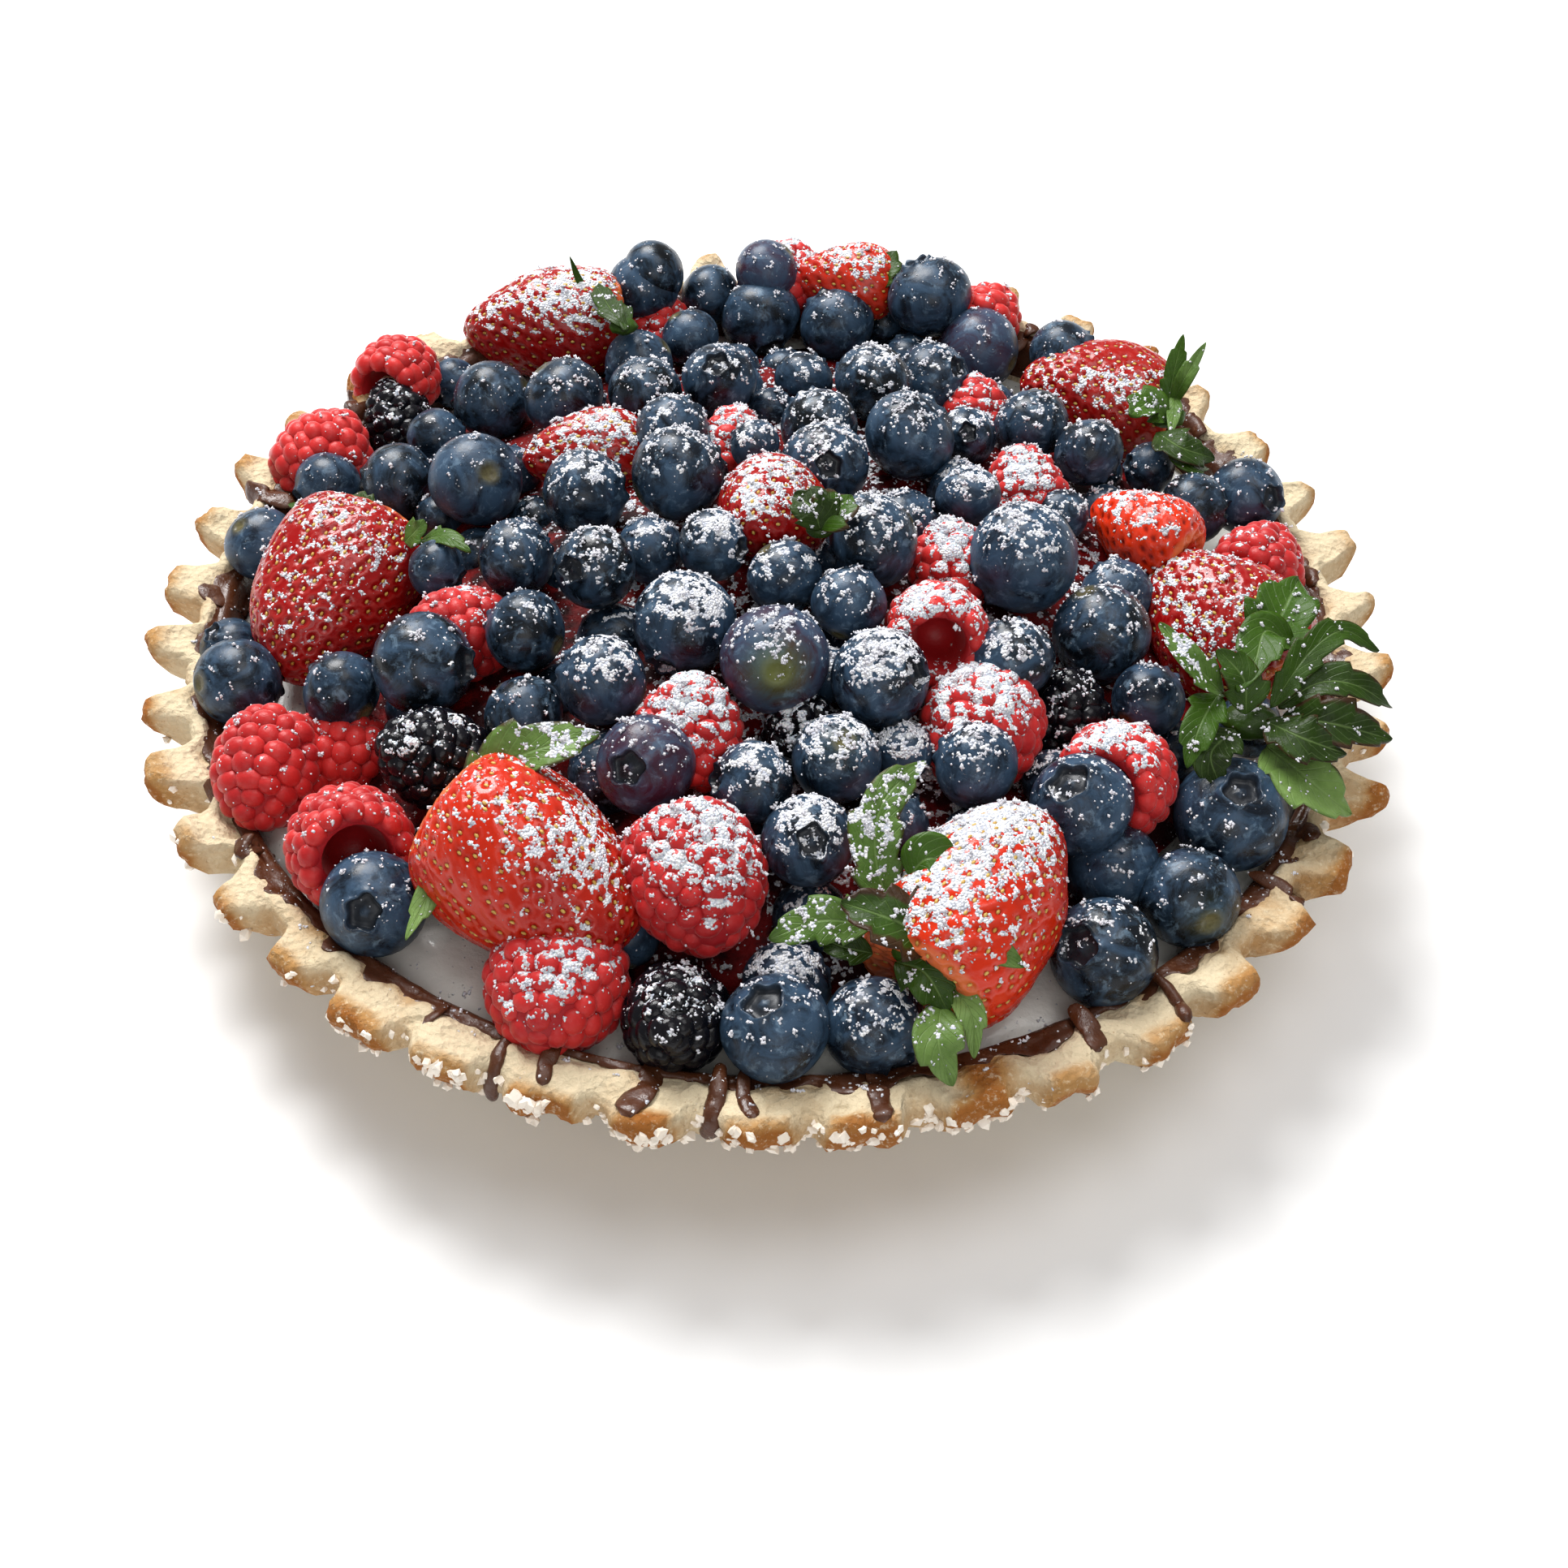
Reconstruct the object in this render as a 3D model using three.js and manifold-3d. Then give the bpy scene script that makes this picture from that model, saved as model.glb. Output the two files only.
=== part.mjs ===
// Berry tart: a fluted shortcrust shell lined with chocolate, filled with cream and heaped with
// blueberries, raspberries, dark bramble berries and strawberries with their green leaves.
// Millimetres, +Z up. The origin is the middle of the flat underside of the crust.
import * as THREE from 'three';
import { mergeVertices } from 'three/addons/utils/BufferGeometryUtils.js';
import Module from 'manifold-3d';

const wasm = await Module();
wasm.setup();

// ---- Driving dimensions -------------------------------------------------------------------
const FLUTES = 42;            // pressed flutes round the shell
const TIP_RADIUS = 118;       // out to the tips of the flutes
const VALLEY_RADIUS = 112;    // in the grooves between them
const RIM_HEIGHT = 31;        // top of the shell at the front
const BACK_RISE = 4;          // its hand-pressed rim stands this much higher at the back
const BASE_RADIUS = 88;       // flat underside
const FLOOR_THICKNESS = 6;
const FLOOR_RADIUS = 91;      // inside the shell, at the foot of its wall
const WALL_RADIUS = 106.2;    // inside the shell, at the height WALL_BEND
const WALL_BEND = 22;
const LINING = 1.6;           // thickness of the chocolate
const CREAM_TOP = 24;
const EDGE_CENTRE = 32;       // height of the berry centres along the rim
const HEAP_RISE = 23;         // and how much higher they are in the middle
const HEAP_RADIUS = 95;
const CORE_RADIUS = 90;
const CORE_BACK = 3;          // the core lies this far back of the middle
const CORE_DEPTH = 3;         // the heap's core lies this far below the berry centres
const REST_ON_WALL = 108.5;   // no berry reaches further out than this
const GAP = 0.3;              // clearance between separate pieces

// ---- Small helpers ------------------------------------------------------------------------
const DEG = Math.PI / 180;
const UP = new THREE.Vector3(0, 0, 1);

function seeded(seed) {
  let state = seed;
  return () => {
    state = (state * 1664525 + 1013904223) % 4294967296;
    return state / 4294967296;
  };
}

// A closed BufferGeometry as a solid that can be joined and cut.
function solidFrom(geometry) {
  const bare = geometry.clone();
  bare.deleteAttribute('normal');
  bare.deleteAttribute('uv');
  const merged = mergeVertices(bare, 1e-4);
  return new wasm.Manifold(new wasm.Mesh({
    numProp: 3,
    vertProperties: new Float32Array(merged.attributes.position.array),
    triVerts: new Uint32Array(merged.index.array),
  }));
}

// The largest body of a solid: loose scraps go, and sealed hollows are filled.
function mainBody(solid) {
  return solid.decompose().sort((a, b) => b.volume() - a.volume())[0];
}

function geometryFrom(points, faces) {
  const geometry = new THREE.BufferGeometry();
  geometry.setAttribute('position', new THREE.Float32BufferAttribute(points, 3));
  geometry.setIndex(faces);
  return geometry;
}

// A body of revolution whose outline, from the axis out and back to the axis, may change as it turns.
function spun(outlineAt, segments) {
  const first = outlineAt(0);
  const rows = first.length - 2;
  const points = [0, 0, first[0][1], 0, 0, first[first.length - 1][1]];
  const faces = [];
  const at = (step, row) => 2 + (step % segments) * rows + row;
  for (let step = 0; step < segments; step++) {
    const angle = 2 * Math.PI * step / segments;
    for (const [radius, height] of outlineAt(angle).slice(1, -1)) {
      points.push(radius * Math.cos(angle), radius * Math.sin(angle), height);
    }
    faces.push(0, at(step + 1, 0), at(step, 0));
    faces.push(1, at(step, rows - 1), at(step + 1, rows - 1));
    for (let row = 0; row < rows - 1; row++) {
      faces.push(at(step, row), at(step + 1, row), at(step + 1, row + 1));
      faces.push(at(step, row), at(step + 1, row + 1), at(step, row + 1));
    }
  }
  return geometryFrom(points, faces);
}

// Direction of a berry's tip from its bearing round the tart and its tilt above the horizontal.
function direction(bearing, tilt) {
  const flat = Math.cos(tilt * DEG);
  return new THREE.Vector3(
    flat * Math.cos(bearing * DEG), flat * Math.sin(bearing * DEG), Math.sin(tilt * DEG));
}

// ---- Sight lines --------------------------------------------------------------------------
// The berries are laid out as they are seen from EYE: "across" and "down" count in 1/REACH of the
// distance ahead, from the corner of a square view whose middle is MIDDLE, MIDDLE.
const SLIDE_NEARER = 1.5;      // most that a berry slides along its sight line
const SLIDE_FARTHER = 9;
const SETTLING_PASSES = 60;
const EYE = new THREE.Vector3(3, -310, 316);
const LOOK_DOWN = 46.9 * DEG;
const ROLL = 1.2 * DEG;
const REACH = 2700;
const MIDDLE = 966;

function sightLine(across, down) {
  const ahead = new THREE.Vector3(0, Math.cos(LOOK_DOWN), -Math.sin(LOOK_DOWN));
  const above = new THREE.Vector3(0, Math.sin(LOOK_DOWN), Math.cos(LOOK_DOWN));
  const right = new THREE.Vector3(1, 0, 0);
  const x = (across - MIDDLE) / REACH;
  const y = (MIDDLE - down) / REACH;
  return ahead
    .addScaledVector(right, x * Math.cos(ROLL) - y * Math.sin(ROLL))
    .addScaledVector(above, x * Math.sin(ROLL) + y * Math.cos(ROLL));
}

// Height of the berry centres at a point of the heap.
function heapHeight(x, y) {
  const share = (x * x + y * y) / (HEAP_RADIUS * HEAP_RADIUS);
  return EDGE_CENTRE + HEAP_RISE * Math.max(0, 1 - share);
}

// Where a sight line meets the heap of berry centres raised by lift.
function onHeap(across, down, lift) {
  const sight = sightLine(across, down);
  const point = (height) => EYE.clone().addScaledVector(sight, (height - EYE.z) / sight.z);
  let low = 0;
  let high = 120;
  for (let halving = 0; halving < 40; halving++) {
    const middle = (low + high) / 2;
    const p = point(middle);
    if (heapHeight(p.x, p.y) + lift > middle) low = middle;
    else high = middle;
  }
  return point(low);
}

// ---- Crust --------------------------------------------------------------------------------
const CRUST_SEGMENTS = FLUTES * 3;

// 1 at the round tip of a flute, 0 in the groove beside it.
function flute(angle) {
  const phase = (angle * FLUTES / (2 * Math.PI)) % 1;
  return Math.sqrt(Math.abs(Math.sin(Math.PI * phase)));
}

// Hand-pressed unevenness of each flute.
const pressed = (() => {
  const random = seeded(7);
  return Array.from({ length: FLUTES }, () => [random() - 0.5, random() - 0.5]);
})();

// Top of the rim at an angle, before its flutes.
function rimHeight(angle) {
  return RIM_HEIGHT + BACK_RISE * Math.pow(Math.max(0, Math.sin(angle)), 1.5);
}

function crustOutline(angle, grow) {
  const tip = flute(angle);
  const rim = rimHeight(angle);
  const [reach, rise] = pressed[Math.floor(angle * FLUTES / (2 * Math.PI)) % FLUTES];
  const outer = VALLEY_RADIUS + (TIP_RADIUS - VALLEY_RADIUS) * tip + 1.6 * reach * tip + grow;
  const top = rim - 1.2 + (0.6 + 1.6 * rise) * tip + grow;
  return [
    [0, 0],
    [BASE_RADIUS, 0],
    [outer - 1.8, rim - 7.2],
    [outer, rim - 4],
    [outer - 3, top],
    [109, rim - 1.6 + grow],
    [WALL_RADIUS - grow, WALL_BEND],
    [FLOOR_RADIUS - grow, FLOOR_THICKNESS + 0.6 + grow],
    [0, FLOOR_THICKNESS + grow],
  ];
}

function crust(grow) {
  return solidFrom(spun((angle) => crustOutline(angle, grow), CRUST_SEGMENTS));
}

// ---- Chocolate lining with its drips ------------------------------------------------------
const LINING_SEGMENTS = 32;
const LINING_CLEARANCE = 0.45;

function liningOutline(angle, grow) {
  const wave = 0.9 * Math.sin(3 * angle + 1) + 0.7 * Math.sin(8 * angle);
  const top = rimHeight(angle) - 3.2 + wave;
  const wall = WALL_RADIUS - LINING_CLEARANCE;
  const slope = (top - WALL_BEND) * 0.3;
  return [
    [0, FLOOR_THICKNESS + LINING_CLEARANCE],
    [FLOOR_RADIUS - LINING_CLEARANCE, FLOOR_THICKNESS + 0.6 + LINING_CLEARANCE],
    [wall, WALL_BEND],
    [wall + slope, top],
    [wall + slope - LINING - grow, top],
    [wall - LINING - grow, WALL_BEND - 0.6],
    [FLOOR_RADIUS - 1 - LINING - grow, FLOOR_THICKNESS + 0.9 + LINING + grow],
    [0, FLOOR_THICKNESS + LINING_CLEARANCE + LINING + grow],
  ];
}

// Where chocolate ran over the rim: bearing, length outward, width.
const DRIPS = [
  [247, 10, 5], [259, 11, 7], [269, 13, 5], [316, 13, 4.5],
];

function drip([bearing, length, width], grow) {
  const shape = new THREE.OctahedronGeometry(1, 1);
  shape.scale(length / 2 + grow, width / 2 + grow, 2.8 + grow);
  shape.rotateY(8 * DEG);
  shape.translate(104.5 + length / 2, 0, rimHeight(bearing * DEG) - 1.6);
  shape.rotateZ(bearing * DEG);
  return solidFrom(shape);
}

function chocolate(grow) {
  let solid = solidFrom(spun((angle) => liningOutline(angle, grow), LINING_SEGMENTS));
  for (const row of DRIPS) solid = solid.add(drip(row, grow));
  return solid;
}

// ---- Cream --------------------------------------------------------------------------------
const CREAM_CLEARANCE = 0.4;  // to the lining, square to its wall

function creamOutline(angle) {
  const dip = 0.5 + 0.5 * Math.sin(5 * angle + 2) * Math.sin(9 * angle);
  const foot = FLOOR_THICKNESS + LINING_CLEARANCE + LINING + CREAM_CLEARANCE;
  const wall = WALL_RADIUS - LINING_CLEARANCE - LINING - CREAM_CLEARANCE;
  return [
    [0, foot],
    [FLOOR_RADIUS - 1 - LINING - CREAM_CLEARANCE, foot + 0.9],
    [wall, WALL_BEND - 0.6],
    [wall - 2.2, CREAM_TOP - 0.6 - dip],
    [96, CREAM_TOP - 0.4 * dip],
    [0, CREAM_TOP],
  ];
}

function cream() {
  return solidFrom(spun(creamOutline, LINING_SEGMENTS));
}

// The room above the cream and inside the rim, where everything on the tart has to lie.
const SKY = 120;
const ROOM_SEGMENTS = 18;

function room(clearance) {
  const wall = WALL_RADIUS - LINING_CLEARANCE - LINING - 0.8 - clearance;
  const above = 0.6 + clearance;
  return solidFrom(spun((angle) => [
    [0, CREAM_TOP + clearance],
    [wall - 2, CREAM_TOP + clearance],
    [wall + 2, rimHeight(angle) + above - 2.6],
    [wall + 6, rimHeight(angle) + above],
    [SKY, rimHeight(angle) + above],
    [SKY, SKY],
    [0, SKY],
  ], ROOM_SEGMENTS));
}

// ---- Core of the heap ---------------------------------------------------------------------
const CORE_SEGMENTS = 20;

function core(grow) {
  const foot = CREAM_TOP + GAP;
  const height = (radius) => heapHeight(radius, 0) - CORE_DEPTH + grow;
  const outline = [[0, foot], [CORE_RADIUS + grow, foot]];
  for (const radius of [CORE_RADIUS - 2, 62, 34]) outline.push([radius, height(radius)]);
  outline.push([0, height(0)]);
  return solidFrom(spun(() => outline, CORE_SEGMENTS).translate(0, CORE_BACK, 0));
}

// ---- Berries that have an axis ------------------------------------------------------------
// Outlines from the stalk end to the tip, as shares of the length and of the half width.
const STRAWBERRY = [[0.03, 0], [0, 0.55], [0.12, 0.9], [0.32, 1], [0.6, 0.82], [0.86, 0.44], [1, 0]];
const RASPBERRY = [[0.05, 0], [0, 0.62], [0.2, 0.98], [0.54, 1], [0.85, 0.66], [1, 0]];
const CUPPED = [[0.45, 0], [0.38, 0.36], ...RASPBERRY.slice(1)];

// relief is how far every other facet of a drupelet berry stands proud.
function axisBerry(outline, berry, grow, sides, relief) {
  const { at, length, width, bearing, tilt } = berry;
  const along = length + 2 * grow;
  let turn = 0;
  const shape = spun(() => {
    turn += 1;
    return outline.map(([share, half], row) => [
      half * (width / 2 + grow) * (half < 0.6 || (turn + outline.length - row) % 2 ? 1 : 1 - relief),
      (share - 0.5) * along,
    ]);
  }, sides);
  shape.applyQuaternion(new THREE.Quaternion().setFromUnitVectors(UP, direction(bearing, tilt)));
  shape.translate(at.x, at.y, at.z);
  return solidFrom(shape);
}

function placed(rows) {
  return rows.map(([across, down, lift, length, width, bearing, tilt]) => ({
    at: onHeap(across, down, lift), length, width, bearing, tilt,
  }));
}

// Rows: across, down, lift, length, width, bearing and tilt of the tip.
const STRAWBERRIES = placed([
  [415, 738, 0, 36, 27, 222, -14],
  [668, 400, 3, 34, 26, 190, 0],
  [946, 632, 0, 24, 20, 250, 30],
  [1035, 347, 7, 24, 18, 175, 5],
  [1345, 488, 0, 32, 24, 172, 8],
  [665, 1078, 2, 34, 28, 318, -14],
  [1208, 1112, 2, 33, 27, 55, 12],
  [1500, 765, 0, 33, 27, 130, 16],
  [1405, 658, 0, 24, 17, 318, -6],
  [718, 562, -3, 24, 18, 200, 10],
]);

const RASPBERRIES = placed([
  [393, 568, -1, 21, 20, 205, 0],
  [328, 955, 0, 22, 20, 262, -10],
  [682, 1222, 0, 23, 24, 262, 10],
  [860, 1090, 2, 25, 24, 290, -12],
  [1205, 905, -2, 22, 22, 250, 10],
  [1380, 958, -1, 22, 21, 300, 15],
  [1550, 700, 0, 20, 19, 60, 20],
  [812, 408, -1, 18, 17, 90, 40],
  [970, 340, 5, 18, 17, 80, 30],
  [1215, 392, 3, 17, 16, 60, 30],
  [560, 782, -3, 19, 18, 200, 20],
  [850, 897, -1, 20, 19, 80, 50],
  [905, 548, -5, 16, 15, 90, 40],
  [1172, 692, -4, 17, 16, 90, 40],
  [1262, 604, -4, 18, 17, 100, 40],
  [425, 925, -6, 18, 17, 0, 20],
]);

// These show the hollow that their stalk left.
const HOLLOW_RASPBERRIES = placed([
  [495, 462, 1, 19, 18, 40, -10],
  [428, 1040, 1, 23, 22, 120, 5],
  [1153, 778, -1, 20, 19, 90, 0],
]);

const BRAMBLES = placed([
  [490, 513, -1, 16, 15, 120, 40],
  [528, 932, 0, 20, 18, 200, 40],
  [832, 1258, 0, 21, 18, 270, 40],
  [1318, 880, -5, 17, 15, 90, 60],
]);

// ---- Blueberries --------------------------------------------------------------------------
// Rows: across, down, lift, width. The first list lies apart along the rim.
const RIM_BLUEBERRIES = [
  [793, 354, 1, 15.5], [806, 335, -2, 14], [945, 335, -2, 14.5], [1145, 366, 1, 18.5],
  [1310, 438, 0, 15.5], [1535, 612, 0, 15.5], [322, 670, 0, 14.5], [267, 800, -2, 12],
  [275, 844, 1, 16.5], [457, 1116, 0, 18], [955, 1301, 1, 18], [1076, 1264, 0, 17],
  [1516, 1004, 1, 20.5], [1487, 1121, 0, 17.5], [1367, 1181, 1, 18.5],
];

const HEAP_BLUEBERRIES = [
  [875, 364, 0, 13.5], [850, 415, 0, 12.5], [937, 390, 1, 17.5], [993, 352, 0, 11],
  [1032, 399, 1, 17], [1206, 431, 1, 18], [886, 468, 1, 15],
  [1077, 470, 0, 16], [1150, 468, 0, 16],
  [795, 484, 1, 15], [607, 493, 1, 16.5], [695, 489, 1, 16.5],
  [560, 472, -2, 11], [538, 541, -2, 12.5], [829, 533, -1, 15], [835, 583, 2, 17.5],
  [930, 548, 0, 10], [1010, 525, -1, 15.5], [1016, 574, 2, 17],
  [1120, 537, 1, 18], [1270, 524, 1, 15.5], [1342, 557, 1, 14],
  [1417, 577, -1, 11], [1470, 627, 1, 14.5], [405, 600, 0, 14.5], [492, 594, 0, 15.5],
  [586, 591, 2, 18], [720, 608, 1, 17], [537, 700, 1, 11],
  [635, 689, 0, 15], [733, 700, 1, 15], [801, 678, -2, 13], [879, 672, 0, 13.5],
  [1193, 612, 0, 12.5], [1076, 665, 2, 17.5], [966, 710, -1, 14],
  [1046, 744, 0, 13.5], [1261, 688, 2, 20.5], [421, 851, 1, 14.5],
  [521, 818, 2, 18.5], [648, 779, 0, 15], [742, 838, 0, 16], [844, 768, 1, 18.5],
  [955, 812, 2, 19], [1085, 836, 1, 17.5], [1246, 814, 1, 15.5], [1357, 780, 1, 18],
  [1415, 862, 0, 13.5], [644, 881, -1, 14.5], [795, 942, 2, 17], [927, 965, 0, 14.5],
  [1031, 935, 0, 15.5], [995, 1036, 1, 15.5], [1203, 942, 0, 15.5],
  [1333, 991, 2, 18], [1370, 1070, -3, 16.5], [970, 1215, -2, 15.5],
];

// A berry as a ball that can slide along its sight line.
function ballOn(row) {
  const [across, down, lift, width] = row;
  const radius = width / 2;
  const sight = sightLine(across, down);
  const floor = CREAM_TOP + radius - 0.5;
  const home = (Math.max(floor, onHeap(across, down, lift).z) - EYE.z) / sight.z;
  return { sight, radius, floor, home, far: home, at: new THREE.Vector3() };
}

// Balls that stand for a long berry: one near each end.
function ballsIn(berry) {
  const axis = direction(berry.bearing, berry.tilt);
  const radius = berry.width * 0.48;
  const spread = berry.length / 2 - radius;
  return [-0.9, 0.6].map((share) => ({
    radius: share < 0 ? radius : radius * 0.84,
    at: berry.at.clone().addScaledVector(axis, share * spread),
  }));
}

function moveTo(ball, far) {
  const lowest = (ball.floor - EYE.z) / ball.sight.z;
  ball.far = Math.min(Math.max(far, ball.home - SLIDE_NEARER), ball.home + SLIDE_FARTHER, lowest);
  ball.at.copy(EYE).addScaledVector(ball.sight, ball.far);
}

// How far two balls are from lying clear of each other.
function overlap(ball, other) {
  return ball.radius + other.radius + GAP - ball.at.distanceTo(other.at);
}

// Slides the balls along their sight lines until neighbours lie clear, then keeps them off the wall.
function settle(balls, fixed) {
  balls.forEach((ball) => moveTo(ball, ball.home));
  for (let pass = 0; pass < SETTLING_PASSES; pass++) {
    for (const [index, ball] of balls.entries()) {
      for (const other of balls.slice(index + 1)) {
        const over = overlap(ball, other);
        if (over <= 0) continue;
        const step = (ball.far < other.far ? 0.3 : -0.3) * over;
        moveTo(ball, ball.far - step);
        moveTo(other, other.far + step);
      }
      for (const other of fixed) {
        const over = overlap(ball, other);
        if (over <= 0) continue;
        const ahead = other.at.clone().sub(ball.at).dot(ball.sight);
        moveTo(ball, ball.far - Math.sign(ahead) * over * 0.4);
      }
    }
  }
  balls.forEach(keepInside);
}

// A ball at the back comes nearer along its sight line, and one at the front moves straight in.
function keepInside(ball) {
  const { at, radius } = ball;
  const most = REST_ON_WALL - radius;
  while (at.y > 0 && Math.hypot(at.x, at.y) > most) {
    ball.far -= 0.5;
    at.copy(EYE).addScaledVector(ball.sight, ball.far);
  }
  const out = Math.hypot(at.x, at.y);
  if (out > most) at.set(at.x * most / out, at.y * most / out, at.z);
}

function roundBody(ball, grow, sides, polars) {
  const radius = ball.radius + grow;
  const outline = [180, ...polars, 0].map((polar) => [
    polar % 180 ? radius * Math.sin(polar * DEG) : 0, radius * Math.cos(polar * DEG),
  ]);
  return solidFrom(spun(() => outline, sides).translate(ball.at.x, ball.at.y, ball.at.z));
}

const blueberry = (ball, grow) => roundBody(ball, grow, 8, [135, 90, 45]);
const heapBlueberry = (ball, grow) => roundBody(ball, grow, 6, [125, 80, 40]);

const axisBerries = [...STRAWBERRIES, ...RASPBERRIES, ...HOLLOW_RASPBERRIES, ...BRAMBLES];
const rimBalls = RIM_BLUEBERRIES.map(ballOn);
const heapBalls = HEAP_BLUEBERRIES.map(ballOn);
settle([...rimBalls, ...heapBalls], axisBerries.flatMap(ballsIn));

// ---- Leaves -------------------------------------------------------------------------------
const LEAF_THICKNESS = 0.9;
const LEAF_WIDEST = 0.42;     // how far along it a leaf is widest

// A thin leaf, pointed at base and tip, arched, folded along its midrib and waved at its edges.
function leaf(base, tip, width, arch, phase) {
  const along = tip.clone().sub(base);
  const side = along.clone().cross(UP).normalize();
  const above = side.clone().cross(along).normalize();
  const points = [];
  for (const face of [LEAF_THICKNESS / 2, -LEAF_THICKNESS / 2]) {
    const wave = 0.6 + 0.5 * Math.sin(3 * phase);
    for (const [share, across, lift] of [
      [0, 0, 0],
      [LEAF_WIDEST, -width / 2, arch + wave],
      [LEAF_WIDEST, 0, arch - 0.3],
      [LEAF_WIDEST, width / 2, arch + 1.2 - wave],
      [1, 0, 0],
    ]) {
      const p = base.clone().addScaledVector(along, share)
        .addScaledVector(side, across).addScaledVector(above, lift + face);
      points.push(p.x, p.y, p.z);
    }
  }
  const under = 5;
  const faces = [];
  for (const [a, b, c] of [[0, 2, 1], [0, 3, 2], [4, 1, 2], [4, 2, 3]]) {
    faces.push(a, b, c, under + a, under + c, under + b);
  }
  for (const [a, b] of [[0, 1], [1, 4], [4, 3], [3, 0]]) {
    faces.push(a, under + b, under + a, a, b, under + b);
  }
  return solidFrom(geometryFrom(points, faces));
}

// A cluster: the hub it grows from, then its leaves as across, down, lift of the tip, width, arch.
const LEAF_CLUSTERS = [
  { hub: [520, 648, 9], leaves: [[357, 622, 12, 6, 2], [440, 612, 12, 8, 1], [566, 660, 8, 6, 1]] },
  { hub: [752, 396, 9], leaves: [[732, 346, 12, 5, 1], [768, 350, 12, 5, 1], [704, 316, 22, 2.4, 0]] },
  { hub: [1080, 345, 11], leaves: [[1098, 305, 15, 9, 1], [1060, 312, 15, 7, 1]] },
  { hub: [1428, 505, 10], leaves: [
    [1459, 414, 19, 9, 1], [1484, 424, 18, 6, 1], [1385, 510, 11, 12, 2], [1491, 562, 7, 13, 2]] },
  { hub: [572, 985, 12], leaves: [[738, 905, 15, 15, 3], [503, 1158, 6, 6, 3], [556, 1048, 10, 8, 1]] },
  { hub: [1122, 1164, 10], leaves: [
    [1095, 905, 14, 16, 3], [1036, 1102, 11, 12, 2], [950, 1155, 6, 9, 2], [1255, 1186, 12, 9, 2],
    [1170, 1335, 0, 9, 2]] },
  { hub: [1545, 862, 13], leaves: [
    [1430, 768, 18, 11, 2], [1464, 942, 9, 10, 1], [1535, 776, 19, 14, 2], [1592, 720, 19, 17, 2],
    [1692, 798, 15, 8, 3], [1709, 868, 11, 12, 3], [1664, 1000, 4, 15, 3]] },
  { hub: [985, 648, 11], leaves: [[1010, 608, 13, 9, 1], [1048, 620, 13, 10, 1]] },
];

function leafCluster({ hub, leaves }) {
  const centre = onHeap(...hub);
  const boss = new THREE.OctahedronGeometry(2.6, 0);
  boss.translate(centre.x, centre.y, centre.z);
  let solid = solidFrom(boss);
  leaves.forEach(([across, down, lift, width, arch], index) => {
    solid = solid.add(leaf(centre, onHeap(across, down, lift), width, arch, index));
  });
  return solid;
}

// ---- Fitting the pieces together ----------------------------------------------------------
const tart = new THREE.Group();
const kept = DRIPS.map((row) => drip(row, GAP));    // what later pieces stay clear of, grown by the gap

function boxesMeet(a, b) {
  const [p, q] = [a.boundingBox(), b.boundingBox()];
  return [0, 1, 2].every((axis) => p.min[axis] < q.max[axis] && q.min[axis] < p.max[axis]);
}

function clearOf(solid, others) {
  return others.filter((other) => boxesMeet(solid, other))
    .reduce((rest, other) => rest.subtract(other), solid);
}

function addMesh(name, solid, material) {
  const { vertProperties, triVerts } = mainBody(solid).getMesh();
  const geometry = geometryFrom(Array.from(vertProperties), Array.from(triVerts));
  geometry.computeVertexNormals();
  const mesh = new THREE.Mesh(geometry, material);
  mesh.name = name;
  tart.add(mesh);
}

// Adds a topping, cut clear of the shell, the cream and every topping before it.
// make(grow) builds it, larger all round by grow; a hollow one is then whole.
function addTopping(name, make, material) {
  addMesh(name, clearOf(make(0).intersect(inside), [grownCore, ...kept]), material);
  kept.push(make(GAP));
}

function paint(color, roughness) {
  return new THREE.MeshStandardMaterial({ color, roughness, metalness: 0 });
}

const PAINT = {
  crust: paint(0xdcbc88, 0.8),
  chocolate: paint(0x3b1d12, 0.3),
  cream: paint(0xeee6d8, 0.6),
  strawberry: paint(0xc4141a, 0.3),
  raspberry: paint(0xc62b35, 0.5),
  bramble: paint(0x15131a, 0.25),
  blueberry: paint(0x39465c, 0.5),
  leaf: paint(0x3f7a2e, 0.5),
};

const inside = room(GAP);
const grownCore = core(GAP);
addMesh('crust', crust(0), PAINT.crust);
addMesh('chocolate', chocolate(0).subtract(crust(GAP)), PAINT.chocolate);
addMesh('cream', cream(), PAINT.cream);

function addRow(name, berries, outline, sides, relief, material) {
  berries.forEach((berry, index) => {
    const make = (grow) => {
      const whole = outline === CUPPED && grow > 0 ? RASPBERRY : outline;
      return axisBerry(whole, berry, grow, sides, relief);
    };
    addTopping(`${name}_${index + 1}`, make, material);
  });
}

addRow('strawberry', STRAWBERRIES, STRAWBERRY, 8, 0, PAINT.strawberry);
addRow('raspberry', RASPBERRIES, RASPBERRY, 8, 0.1, PAINT.raspberry);
addRow('raspberry_hollow', HOLLOW_RASPBERRIES, CUPPED, 8, 0.08, PAINT.raspberry);
addRow('bramble', BRAMBLES, RASPBERRY, 8, 0.12, PAINT.bramble);
rimBalls.forEach((ball, index) => {
  addTopping(`blueberry_${index + 1}`, (grow) => blueberry(ball, grow), PAINT.blueberry);
});

// The heap: its bare core with the blueberries that show fused on, clear of what lies among them.
const berries = heapBalls.map((ball) => clearOf(heapBlueberry(ball, 0).intersect(inside), kept));
addMesh('blueberry_heap', berries.reduce((whole, berry) => whole.add(berry), core(0)), PAINT.blueberry);
kept.push(grownCore, ...heapBalls.map((ball) => heapBlueberry(ball, GAP)));

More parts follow.
